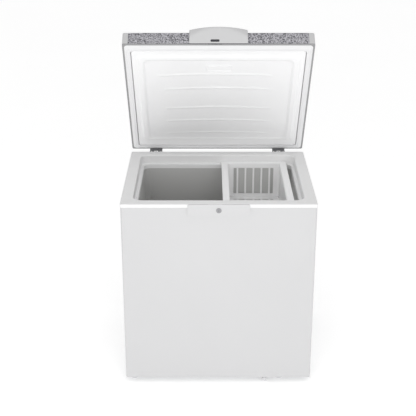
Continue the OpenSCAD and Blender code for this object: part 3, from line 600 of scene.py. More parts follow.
def inside_rect(x: float, y: float, lo: tuple[float, float], hi: tuple[float, float], radius: float) -> float:
    """Distance inside a rectangle with round corners; negative outside.

    Args:
        x: Point's x.
        y: Point's y.
        lo: Lowest corner.
        hi: Highest corner.
        radius: Corner radius.

    Returns:
        The distance to the nearest edge.
    """
    qx = abs(x - (lo[0] + hi[0]) / 2) - (hi[0] - lo[0]) / 2 + radius
    qy = abs(y - (lo[1] + hi[1]) / 2) - (hi[1] - lo[1]) / 2 + radius
    outside = math.hypot(max(qx, 0.0), max(qy, 0.0))
    return radius - outside - min(max(qx, qy), 0.0)


class Form:
    """Points and faces of one piece, in the millimetres of a space."""

    def __init__(self, space: Matrix) -> None:
        """Starts an empty form.

        Args:
            space: Turns the form's millimetres into the row frame.
        """
        self.space = space
        self.points: list[Vector] = []
        self.faces: list[list[int]] = []

    def put(self, points: Sequence[Vector]) -> int:
        """Adds points and returns the number of the first.

        Args:
            points: The points.

        Returns:
            The number of the first.
        """
        start = len(self.points)
        self.points += [Vector(p) for p in points]
        return start

    def loft(self, rings: Sequence[Ring], closed: bool = False, ends: bool = False) -> Form:
        """Joins rings of the same count of points.

        Args:
            rings: The rings in order.
            closed: Joins the last ring to the first.
            ends: Closes both ends with a face.

        Returns:
            This form.
        """
        count = len(rings[0])
        starts = [self.put(ring) for ring in rings]
        pairs = list(zip(starts, starts[1:])) + ([(starts[-1], starts[0])] if closed else [])
        for a, b in pairs:
            self.faces += [[a + i, a + (i + 1) % count, b + (i + 1) % count, b + i] for i in range(count)]
        if ends:
            self.faces.append([starts[0] + i for i in reversed(range(count))])
            self.faces.append([starts[-1] + i for i in range(count)])
        return self

    def shell(self, outer: Sequence[Ring], inner: Sequence[Ring],
              keep: Callable[[int, int], bool] | None = None, wrap: bool = False) -> Form:
        """A sheet with thickness between two grids, with cells left out.

        Args:
            outer: Rows of points on one face.
            inner: The same rows on the other face.
            keep: Says whether the cell (row, place) is there.
            wrap: Each row closes on itself.

        Returns:
            This form.
        """
        rows, places = len(outer) - 1, len(outer[0]) - (0 if wrap else 1)
        width = len(outer[0])
        a = self.put([p for row in outer for p in row])
        b = self.put([p for row in inner for p in row])

        def there(row: int, place: int) -> bool:
            """Whether a cell is there.

            Args:
                row: Row of the cell.
                place: Place of the cell.

            Returns:
                True where the sheet is.
            """
            if wrap:
                place %= places
            return 0 <= row < rows and 0 <= place < places and (keep is None or keep(row, place))

        for row in range(rows):
            for place in range(places):
                if not there(row, place):
                    continue
                nxt = (place + 1) % width
                here, above = row * width, (row + 1) * width
                corners = [here + place, here + nxt, above + nxt, above + place]
                self.faces.append([a + c for c in corners])
                self.faces.append([b + c for c in reversed(corners)])
                neighbours = [(row - 1, place), (row, place + 1), (row + 1, place), (row, place - 1)]
                for k, (r, p) in enumerate(neighbours):
                    if not there(r, p):
                        c0, c1 = corners[k], corners[(k + 1) % 4]
                        self.faces.append([a + c1, a + c0, b + c0, b + c1])
        return self

    def lathe(self, profile: Sequence[tuple[float, float]], centre: tuple[float, float, float],
              axis: Direction = Direction.UP, steps: int = 40) -> Form:
        """Turns a profile round an axis.

        Args:
            profile: (radius, height) points; a radius of 0 closes the end.
            centre: Where height 0 is on the axis.
            axis: The axis.
            steps: Segments round.

        Returns:
            This form.
        """
        turn = Vector((0, 0, 1)).rotation_difference(axis.value).to_matrix()
        rings = []
        for radius, height in profile:
            angles = (2 * math.pi * k / steps for k in range(steps))
            ring = [Vector((radius * math.cos(a), radius * math.sin(a), height)) for a in angles]
            rings.append([turn @ p + Vector(centre) for p in ring])
        return self.loft(rings)

    def block(self, lo: tuple[float, float, float], hi: tuple[float, float, float]) -> Form:
        """A box, whose edges are eased when it is made.

        Args:
            lo: Lowest corner.
            hi: Highest corner.

        Returns:
            This form.
        """
        corners = ((lo[0], lo[1]), (hi[0], lo[1]), (hi[0], hi[1]), (lo[0], hi[1]))
        bottom = [Vector((x, y, lo[2])) for x, y in corners]
        top = [Vector((p.x, p.y, hi[2])) for p in bottom]
        return self.loft([bottom, top], ends=True)

    def make(self, name: str, body: str, finish: Finish, replaces: Sequence[str] = (), ease: float = 0.0,
             weigh: bool = True) -> bpy.types.Object:
        """Turns the form into a piece that rides on a body.

        Args:
            name: The piece's name.
            body: The body that it rides on.
            finish: Its finish.
            replaces: CAD nodes that it stands for.
            ease: Width of its eased edges in millimetres.
            weigh: Keeps flat faces flat beside small roundings.

        Returns:
            The piece.
        """
        mesh = bpy.data.meshes.new(name)
        mesh.from_pydata([self.space @ p for p in self.points], [], self.faces)
        build = bmesh.new()
        build.from_mesh(mesh)
        bmesh.ops.remove_doubles(build, verts=build.verts, dist=WELD)
        bmesh.ops.dissolve_degenerate(build, edges=build.edges, dist=WELD)
        bmesh.ops.recalc_face_normals(build, faces=build.faces)
        build.to_mesh(mesh)
        build.free()
        piece = bpy.data.objects.new(name, mesh)
        bpy.context.scene.collection.objects.link(piece)
        finish_edges(piece, ease, weigh)
        settle(piece)
        piece.data.materials.append(finish.build())
        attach(piece, body)
        if replaces:
            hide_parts(*replaces)
        log.info("%s on %s: %d faces", name, body, len(piece.data.polygons))
        return piece


def finish_edges(piece: bpy.types.Object, ease: float, weigh: bool) -> None:
    """Eases a piece's sharp edges and shades it smooth.

    Args:
        piece: The piece.
        ease: Width of the eased edges in millimetres, or 0.
        weigh: Adds weighted normals.
    """
    piece.data.polygons.foreach_set("use_smooth", [True] * len(piece.data.polygons))
    piece.data.set_sharp_from_angle(angle=SMOOTH_ANGLE)
    if ease:
        bevel = piece.modifiers.new("eased_edges", "BEVEL")
        bevel.width = ease * MM
        bevel.segments = 2
        bevel.limit_method = "ANGLE"
        bevel.angle_limit = SMOOTH_ANGLE
        bevel.use_clamp_overlap = True
        bevel.harden_normals = True
    if weigh:
        piece.modifiers.new("flat_faces", "WEIGHTED_NORMAL").keep_sharp = True


def settle(piece: bpy.types.Object) -> None:
    """Applies a piece's modifiers to its mesh.

    Args:
        piece: The piece.
    """
    graph = bpy.context.evaluated_depsgraph_get()
    done = bpy.data.meshes.new_from_object(piece.evaluated_get(graph))
    piece.modifiers.clear()
    old, piece.data = piece.data, done
    bpy.data.meshes.remove(old)
    done.name = piece.name


# ---------- the object ----------


@dataclass
class Spaces:
    """Turns the cabinet's and the closed lid's millimetres into the row frame."""

    back_y: float = 626.0
    axis_y: float = 650.0
    axis_z: float = 773.0
    open_angle: float = math.radians(57.0)
    cabinet: Matrix = field(init=False)
    lid: Matrix = field(init=False)

    def __post_init__(self) -> None:
        """Places the cabinet by its back panel, and opens the lid about its hinges."""
        origin = self.back_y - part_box("back_panel")[1].y / MM
        self.cabinet = Matrix.Scale(MM, 4) @ Matrix.Translation((0, -origin, 0))
        hinge = Matrix.Translation((0, self.axis_y, self.axis_z))
        self.lid = self.cabinet @ hinge @ Matrix.Rotation(-self.open_angle, 4, "X") @ hinge.inverted()


@dataclass
class Cabinet:
    """The painted case: its moulded collar, and the beads pressed into its back."""

    spaces: Spaces
    half_w: float = 379.5
    front: float = -2.0
    rear: float = 629.0
    top: float = 786.0
    lip: float = 14.0
    corner: float = 8.0
    throat_x: float = 332.5
    throat_y: tuple[float, float] = (45.0, 582.0)
    throat_r: float = 38.0
    ledge: float = 13.0
    ledge_z: float = 747.0
    throat_z: float = 729.0
    wall: float = 3.0
    bead_half: float = 5.0
    bead_rise: float = 1.6
    bead_heights: tuple[float, ...] = (330.0, 470.0, 540.0, 610.0)

    def build(self) -> None:
        """Makes the sub-assembly's pieces."""
        self.collar()
        self.back_beads()

    def outside(self, inset: float, z: float) -> Ring:
        """The collar's outline, moved inwards.

        Args:
            inset: Distance inwards.
            z: Height.

        Returns:
            The ring.
        """
        radius = max(self.corner - inset, 3.0)
        return rect_ring((-self.half_w + inset, self.front + inset), (self.half_w - inset, self.rear - inset),
                         radius, z)

    def throat(self, grow: float, z: float) -> Ring:
        """The collar's upper opening, moved outwards."""
        return rect_ring((-self.throat_x - grow, self.throat_y[0] - grow),
                         (self.throat_x + grow, self.throat_y[1] + grow), self.throat_r + grow, z)

    def mouth(self, grow: float, z: float) -> Ring:
        """The collar's lower opening, moved outwards.

        Args:
            grow: Distance outwards.
            z: Height.

        Returns:
            The ring.
        """
        return rect_ring((-self.throat_x + self.ledge - grow, self.throat_y[0] + self.ledge - grow),
                         (self.throat_x - self.ledge + grow, self.throat_y[1] - self.ledge + grow),
                         self.throat_r - self.ledge + grow, z)

    def collar(self) -> None:
        """The collar as one closed section, led round the cabinet."""
        top, sheet = self.top, self.top - self.wall
        ledge, under = self.ledge_z, self.ledge_z - self.wall
        Form(self.spaces.cabinet).loft([
            self.outside(2, top - self.lip), self.outside(0.8, top - self.lip),
            self.outside(0, top - self.lip + 0.8),
            self.outside(0, top - 3.4), self.outside(0.5, top - 1.6), self.outside(1.6, top - 0.4),
            self.outside(3.4, top), self.outside(12, top), self.throat(7, top), self.throat(3.6, top - 0.5),
            self.throat(1.2, top - 2.2), self.throat(0, top - 5.5), self.throat(0, ledge + 3),
            self.throat(-0.9, ledge + 0.9), self.throat(-3, ledge), self.mouth(3.5, ledge),
            self.mouth(1.0, ledge - 0.9), self.mouth(0, ledge - 3.5), self.mouth(0, self.throat_z),
            self.mouth(self.wall, self.throat_z), self.mouth(self.wall, under), self.throat(self.wall, under),
            self.throat(self.wall, sheet), self.outside(2, sheet)], closed=True,
        ).make("collar", "cabinet", MOULD, ["top_collar"])

    def back_beads(self) -> None:
        """Stiffening beads on the back panel, as long domes."""
        form = Form(self.spaces.cabinet)
        for z in self.bead_heights:
            for side in (-1, 1):
                x0, x1 = sorted((side * 70.0, side * 235.0))
                rows = []
                for share, rise in ((1.0, 0.0), (0.86, 0.35), (0.6, 0.72), (0.3, 0.94), (0.04, 1.0)):
                    half = self.bead_half * share
                    ring = rect_ring((x0 - half, z - half), (x1 + half, z + half), half, 0.0, 5)
                    y = self.spaces.back_y - 0.2 + self.bead_rise * rise
                    rows.append([Vector((p.x, y, p.y)) for p in ring])
                form.loft(rows, ends=True)
        form.make("back_panel_beads", "cabinet", PAINT)


@dataclass
class Screws:
    """Pan-head screws with a cross recess."""

    spaces: Spaces
    rings: int = 7
    steps: int = 32
    rear_y: float = 627.0
    rear_x: float = 365.5
    rear_rows: int = 4
    rear_low: float = 90.0
    rear_step: float = 205.333
    grille_x: float = 379.0
    grille_y: tuple[float, float] = (226.0, 591.0)
    grille_z: tuple[float, float] = (58.0, 219.0)
    hinge_x: float = 272.0
    plate_y: float = 629.0
    plate_dx: float = 14.0
    plate_z: tuple[float, float] = (677.0, 713.0)
    leaf_y: float = 652.0
    leaf_dx: float = 13.0
    leaf_z: float = 830.0

    def head(self, form: Form, centre: Vector, axis: Direction, radius: float, height: float) -> None:
        """One head.

        Args:
            form: The form that it joins.
            centre: Middle of the head's seat.
            axis: Which way it faces.
            radius: Its radius.
            height: Its height.
        """
        turn = Vector((0, 0, 1)).rotation_difference(axis.value).to_matrix()
        rows = [[Vector((radius * math.cos(a), radius * math.sin(a), 0.0)) for a in self.angles()]]
        for k in range(self.rings + 1):
            share = 1 - k / self.rings
            rise = height * (1 - 0.55 * share ** 3.2)
            row = []
            for a in self.angles():
                x, y = radius * share * 0.99 * math.cos(a), radius * share * 0.99 * math.sin(a)
                arm = min(abs(x), abs(y)) < radius * 0.13 and max(abs(x), abs(y)) < radius * 0.62
                row.append(Vector((x, y, rise - (height * 0.55 if arm else 0.0))))
            rows.append(row)
        form.loft([[turn @ p + centre for p in row] for row in rows])

    def angles(self) -> list[float]:
        """Angles of the points round a head."""
        return [2 * math.pi * k / self.steps for k in range(self.steps)]

    def group(self, name: str, body: str, node: str, space: Matrix, centres: Sequence[Vector],
              axis: Direction, radius: float, height: float) -> None:
        """A group of screws that stands for one CAD node.

        Args:
            name: The piece's name.
            body: The body that it rides on.
            node: The CAD node that it stands for.
            space: Space of the centres.
            centres: Middle of each head's seat.
            axis: Which way the heads face.
            radius: Radius of a head.
            height: Height of a head.
        """
        form = Form(space)
        for centre in centres:
            self.head(form, centre, axis, radius, height)
            back = centre - axis.value * 8
            form.lathe([(0, 0), (1.6, 0.6), (1.9, 1.4), (1.9, 8.05)], tuple(back), axis, 16)
        form.make(name, body, SCREW, [node])

    def build(self) -> None:
        """Makes every group."""
        cabinet, lid, sides = self.spaces.cabinet, self.spaces.lid, (-1, 1)
        heights = [self.rear_low + i * self.rear_step for i in range(self.rear_rows)]
        self.group("back_screws", "cabinet", "back_panel_screws", cabinet,
                   [Vector((s * self.rear_x, self.rear_y, z)) for s in sides for z in heights],
                   Direction.BACK, 4.0, 1.6)
        self.group("grille_fixings", "cabinet", "grille_screws", cabinet,
                   [Vector((self.grille_x, y, z)) for y in self.grille_y for z in self.grille_z],
                   Direction.RIGHT, 3.0, 0.5)
        self.group("hinge_plate_screws", "cabinet", "hinge_base_screws", cabinet,
                   [Vector((s * self.hinge_x + x, self.plate_y, z))
                    for s in sides for x in (-self.plate_dx, self.plate_dx) for z in self.plate_z],
                   Direction.BACK, 4.0, 1.6)
        self.group("hinge_lid_screws", "lid", "hinge_leaf_screws", lid,
                   [Vector((s * self.hinge_x + x, self.leaf_y, self.leaf_z))
                    for s in sides for x in (-self.leaf_dx, self.leaf_dx)],
                   Direction.BACK, 4.0, 1.6)


@dataclass
class MachineRoom:
    """What shows at the machine room: louvre blades in the grille and dial marks."""

    spaces: Spaces
    face_x: float = 377.5
    blade_y: tuple[float, float] = (342.0, 567.0)
    blade_z: float = 61.0
    pitch: float = 13.0
    blades: int = 11
    knob: tuple[float, float] = (275.0, 171.0)
    dial_r: float = 28.0

    def build(self) -> None:
        """Makes the sub-assembly's pieces."""
        form = Form(self.spaces.cabinet)
        for i in range(self.blades):
            z = self.blade_z + i * self.pitch
            section = [(-0.6, 5.4), (-3.2, 4.2), (-6.0, 1.4), (-8.0, -2.6),
                       (-8.8, -2.2), (-6.9, 2.2), (-3.8, 5.3), (-0.6, 6.4)]
            rows = [[Vector((self.face_x + dx, y, z + dz)) for dx, dz in section] for y in self.blade_y]
            form.loft(rows, ends=True)
        form.make("grille_blades", "cabinet", HANDLE)
        ticks = Form(self.spaces.cabinet)
        for k in range(10):
            angle = math.radians(225 - 30 * k)
            y = self.knob[0] + self.dial_r * math.cos(angle)
            z = self.knob[1] + self.dial_r * math.sin(angle)
            half = 1.2 + 0.12 * k
            ticks.lathe([(half, 0), (half, 0.25), (half * 0.7, 0.45), (0, 0.48)], (self.face_x + 1.45, y, z),
                        Direction.RIGHT, 16)
        ticks.make("dial_marks", "cabinet", GREY)


@dataclass
class Feet:
    """Levelling feet: a moulded pad, a hexagon nut and a threaded stem."""

    spaces: Spaces
    radius: float = 23.0
    height: float = 20.0
    front: tuple[float, float, float] = (-345.0, 251.0, 48.0)
    rear: tuple[float, float, float] = (-345.0, 345.0, 579.0)

    def build(self) -> None:
        """Makes both pairs."""
        for name, node, (left, right, y) in (("levelling_feet_front", "front_feet", self.front),
                                             ("levelling_feet_rear", "rear_feet", self.rear)):
            form = Form(self.spaces.cabinet)
            for x in (left, right):
                self.foot(form, x, y)
            form.make(name, "cabinet", GREY, [node])

    def foot(self, form: Form, x: float, y: float) -> None:
        """One foot.

        Args:
            form: The form that it joins.
            x: Its middle.
            y: Its middle.
        """
        r = self.radius
        form.lathe([(0, 0.6), (r - 6, 0.6), (r - 5, 0), (r - 1.6, 0), (r - 0.4, 0.5), (r, 1.6), (r, 5.2),
                    (r - 0.5, 6.2), (r - 2, 7), (15.6, 9.2), (13, 10.2), (0, 10.2)], (x, y, 0), steps=56)
        hexagon = [Vector((x + 9.5 * math.cos(math.pi * k / 3), y + 9.5 * math.sin(math.pi * k / 3), 10.2))
                   for k in range(6)]
        form.loft([hexagon, [p + Vector((0, 0, 4.2)) for p in hexagon]], ends=True)
        thread = [(0, 14.4)]
        for k in range(7):
            thread += [(5.2, 14.4 + k * 0.8), (6.0, 14.8 + k * 0.8)]
        form.lathe(thread + [(5.2, self.height), (0, self.height)], (x, y, 0), steps=24)


@dataclass
class Lid:
    """The lid: stucco sheet, corner caps, plastic edge, formed liner, seal and the blank badge pad."""

    spaces: Spaces
    half_w: float = 378.25
    front: float = -6.0
    rear: float = 649.0
    under: float = 794.0
    top: float = 858.0
    corner: float = 7.0
    rim: float = 31.0
    wall: float = 3.0
    cap_w: float = 23.0
    cap_d: float = 30.0
    plug_z: float = 782.0
    flange: float = 5.6
    border_lo: tuple[float, float] = (-346.6, 25.6)
    border_hi: tuple[float, float] = (346.6, 617.4)
    border_r: float = 12.0
    plug_lo: tuple[float, float] = (-330.5, 47.0)
    plug_hi: tuple[float, float] = (330.5, 580.0)
    plug_r: float = 31.0
    slope: float = 13.0
    rear_y: float = 480.0
    rear_run: float = 60.0
    rear_rise: float = 2.5
    rib_span: float = 220.0
    first_rib_more: float = 25.0
    rib_rows: tuple[float, ...] = (158.0, 240.0, 359.0, 441.0, 525.0)
    rib_ends: tuple[float, float] = (-212.0, 215.0)
    rib_half: float = 10.0
    rib_rise: float = 2.4
    rib_bow: float = 9.0
    panel_lo: tuple[float, float] = (-304.0, 70.0)
    panel_hi: tuple[float, float] = (304.0, 582.0)
    panel_r: float = 28.0
    panel_dip: float = 6.5
    pad: tuple[float, float, float, float] = (103.0, 31.0, 2.5, 126.0)

    def build(self) -> None:
        """Makes the sub-assembly's pieces."""
        self.edge()
        self.skin()
        self.caps()
        self.liner()
        self.core()
        self.seal()
        self.badge_pad()

    def outline(self, inset: float, z: float, radius: float | None = None) -> Ring:
        """The lid's outline, moved inwards."""
        return rect_ring((-self.half_w + inset, self.front + inset), (self.half_w - inset, self.rear - inset),
                         radius if radius is not None else max(self.corner - inset, 2.0), z)

    def edge(self) -> None:
        """The plastic edge: a rim all round the underside, with walls at the sides and the rear."""
        z, rim = self.under, self.rim
        form = Form(self.spaces.lid)
        form.loft([self.outline(0.3, z + 3), self.outline(0, z + 2.2), self.outline(0.4, z + 0.9),
                   self.outline(1.4, z + 0.15), self.outline(3, z, 6), self.outline(12, z, 12),
                   self.outline(13.2, z + 1.0, 12), self.outline(17, z + 1.0, 12),
                   self.outline(rim - 2, z + 1.0, 12),
                   self.outline(rim - 0.4, z + 1.4, 12), self.outline(rim, z + 2.2, 12),
                   self.outline(rim, z + 3, 12)], closed=True)
        outer, inner = [], []
        for height, inset in ((z + 3, 0.0), (self.top - 3.2, 0.0), (self.top - 0.9, 0.7), (self.top, 2.4)):
            outer.append(self.walls_path(inset, height))
            inner.append(self.walls_path(self.wall, height))
        form.shell(outer, inner)
        # The edge's finish is darkened as painted shade.
        form.make("lid_edge", "lid", LID_EDGE_PAINTED_SHADE, ["lid_frame"])

    def walls_path(self, inset: float, z: float, steps: int = 8) -> Ring:
        """The line of the side and rear walls, from the right cap round to the left one.

        Args:
            inset: Distance inside the lid's outline.
            z: Height.
            steps: Segments of each corner.

        Returns:
            The line's points.
        """
        x, y, r = self.half_w - inset, self.rear - inset, self.corner - inset
        half = [Vector((x, self.front + self.cap_d, z))]
        half += [Vector((x - r + r * math.cos(a), y - r + r * math.sin(a), z))
                 for a in (math.pi / 2 * k / steps for k in range(steps + 1))]
        return half + [Vector((-p.x, p.y, z)) for p in reversed(half)]

    def skin(self, grid: float = 3.0, relief: float = 0.35) -> None:
        """The stucco sheet over the top and down the front, with its relief on the front band.

        Args:
            grid: Spacing of the relief's points.
            relief: Depth of the relief.
        """
        half = self.half_w - self.cap_w - 0.15
        count = round(2 * half / grid)
        xs = [-half + 2 * half * i / count for i in range(count + 1)]
        front, top, bend = self.front, self.top, 5.0
        section = [(front, z) for z in spread(self.under + self.wall + 0.2, top - bend, grid * 0.9)]
        section += [(front + bend - bend * math.cos(a), top - bend + bend * math.sin(a))
                    for a in (math.pi / 8 * k for k in (1, 2, 3, 4))]
        section += [(y, top) for y in (8.0, 24.0, 120.0, 280.0, 440.0, self.rear - self.wall - 0.2)]
        outer, inner = [], []
        for j, (y, z) in enumerate(section):
            row = []
            for i, x in enumerate(xs):
                on_band = z < top - bend - 1 and 0 < i < count and j > 0
                row.append(Vector((x, y + (relief * scatter(i, j) if on_band else 0.0), z)))
            outer.append(row)
            at_top = z > top - 0.01
            inner.append([Vector((x, y if at_top else y + 1.0, z - 1.0 if at_top else z)) for x in xs])
        form = Form(self.spaces.lid).shell(outer, inner)
        for side in (-1, 1):
            x0, x1 = sorted((side * (half + 0.05), side * (self.half_w - self.wall - 0.1)))
            radii = (8.0, 1.0, 1.0, 1.0) if side > 0 else (1.0, 8.0, 1.0, 1.0)
            lo, hi = (x0, front + self.cap_d + 0.1), (x1, self.rear - self.wall - 0.2)
            form.loft([rect_ring(lo, hi, radii, top - 1), rect_ring(lo, hi, radii, top)], ends=True)
        form.make("lid_stucco_sheet", "lid", STUCCO, ["lid_skin"], weigh=False)

    def caps(self) -> None:
        """The white corner caps at the ends of the front band."""
        form = Form(self.spaces.lid)
        for side in (-1, 1):
            rings = []
            for z, inset in ((self.under + 3.05, 0.6), (self.under + 3.7, 0.0), (self.top - 5, 0.0),
                             (self.top - 2.2, 0.7), (self.top - 0.7, 2.2), (self.top, 4.6)):
                inward = self.half_w - self.cap_w + inset * 0.4
                x0, x1 = sorted((side * inward, side * (self.half_w - inset)))
                big = max(self.corner - inset, 2.0)
                radii = (1.0, 1.0, 1.0, big) if side > 0 else (1.0, 1.0, big, 1.0)
                y0, y1 = self.front + inset, self.front + self.cap_d - inset * 0.2
                rings.append(rect_ring((x0, y0), (x1, y1), radii, z))
            form.loft(rings, ends=True)
        form.make("corner_caps", "lid", HANDLE, ["lid_corner_caps"])

    def liner_height(self, x: float, y: float) -> float:
        """Height of the formed liner's face, with the lid closed.

        Args:
            x: Place across.
            y: Place from front to rear.

        Returns:
            The height.
        """
        edge = inside_rect(x, y, self.border_lo, self.border_hi, self.border_r)
        plug = inside_rect(x, y, self.plug_lo, self.plug_hi, self.plug_r)
        panel = inside_rect(x, y, self.panel_lo, self.panel_hi, self.panel_r)
        z = self.under + 1.8 - (1.8 + self.flange) * smooth(edge / 3.2)
        z -= (self.under - self.flange - self.plug_z) * smooth(plug / self.slope)
        rear = smooth((y - self.rear_y) / self.rear_run)
        z += (self.panel_dip + self.rear_rise * rear) * smooth(panel / (self.slope + 10.0 * rear))
        along = min(abs(x), self.rib_span) / self.rib_span
        for row in self.rib_rows:
            left = self.rib_ends[0] - (self.first_rib_more if row == self.rib_rows[0] else 0.0)
            across = max(left - x, 0.0, x - self.rib_ends[1])
            line = row + self.rib_bow * along ** 2
            reach = math.hypot(across, y - line) / self.rib_half
            if reach < 1:
                fade = 1 - 0.55 * along ** 3
                z -= self.rib_rise * fade * (0.5 + 0.5 * math.cos(math.pi * reach))
        return z

    def liner(self) -> None:
        """The liner as a formed sheet: border, plug, dished panel and ribs."""
        edge_x = [(-347.0, -341.0, 1.5), (-331.5, -316.0, 1.7), (-305.0, -289.0, 1.8), (-248.0, -202.0, 2.6)]
        mirror_x = [(-b, -a, s) for a, b, s in edge_x[:3]] + [(205.0, 226.0, 2.6)]
        xs = spread(-347.0, 347.0, 14.0, edge_x + mirror_x)
        ribs = [(row - 10.4, row + 19.6, 1.6) for row in self.rib_rows]
        edge_y = [(25.2, 31.0, 1.4), (46.0, 61.5, 1.7), (69.0, 84.0, 1.7), (555.0, 583.0, 2.0),
                  (611.5, 617.8, 1.4)]
        ys = spread(25.2, 617.8, 14.0, edge_y + ribs)
        face = [[Vector((x, y, self.liner_height(x, y))) for x in xs] for y in ys]
        back = [[Vector((x, y, self.under + 2.9)) for x in xs] for y in ys]
        form = Form(self.spaces.lid).shell(face, back)
        form.make("formed_lid_liner", "lid", LINER, ["lid_liner"], weigh=False)

    def core(self) -> None:
        """The foam core between the sheet and the liner."""
        low, high, rear = self.under + self.wall + 0.2, self.top - 1.2, self.rear - self.wall - 0.3
        form = Form(self.spaces.lid)
        for lo, hi, radius in (((-self.half_w + self.wall + 0.3, self.front + self.cap_d + 0.5),
                                (self.half_w - self.wall - 0.3, rear), 8.0),
                               ((-self.half_w + self.cap_w + 0.5, 1.0),
                                (self.half_w - self.cap_w - 0.5, self.front + self.cap_d + 0.4), 1.0)):
            form.loft([rect_ring(lo, hi, radius, low), rect_ring(lo, hi, radius, high)], ends=True)
        form.make("lid_foam_core", "lid", FOAM, ["lid_foam"], ease=1.0)

    def seal(self) -> None:
        """The seal: a magnet pocket on a folded bellows, led round the liner."""
        low = self.under - 7.7
        section = [(20.5, 0.0), (29.6, 0.0), (30.4, 0.4), (30.7, 1.2), (30.7, 8.6), (8.0, 8.6), (7.6, 7.5),
                   (8.0, 7.1), (11.0, 6.0), (14.5, 3.6), (17.6, 1.2), (18.8, 0.35)]
        rings = [self.outline(inset, low + rise, 13.0) for inset, rise in section]
        Form(self.spaces.lid).loft(rings, closed=True).make("lid_seal", "lid", SEAL, ["lid_gasket"])

    def badge_pad(self) -> None:
        """The blank pad for a badge: a raised border round a plain field."""
        width, depth, x, y = self.pad
        seat = self.plug_z + self.panel_dip

        def ring(inset: float, drop: float) -> Ring:
            """The pad's outline, moved inwards and down.

            Args:
                inset: Distance inwards.
                drop: Distance down.

            Returns:
                The ring.
            """
            half_x, half_y = width / 2, depth / 2
            lo, hi = (x - half_x + inset, y - half_y + inset), (x + half_x - inset, y + half_y - inset)
            return rect_ring(lo, hi, max(6.0 - inset, 1.5), seat - drop)

        steps = [(0, -0.3), (0, 2.4), (0.5, 3.2), (1.4, 3.5), (2.6, 3.5), (3.4, 3.1), (4.0, 1.9), (5.2, 1.5)]
        form = Form(self.spaces.lid).loft([ring(*step) for step in steps], ends=True)
        form.make("blank_badge_pad", "lid", LINER, ["lid_badge_pad"])


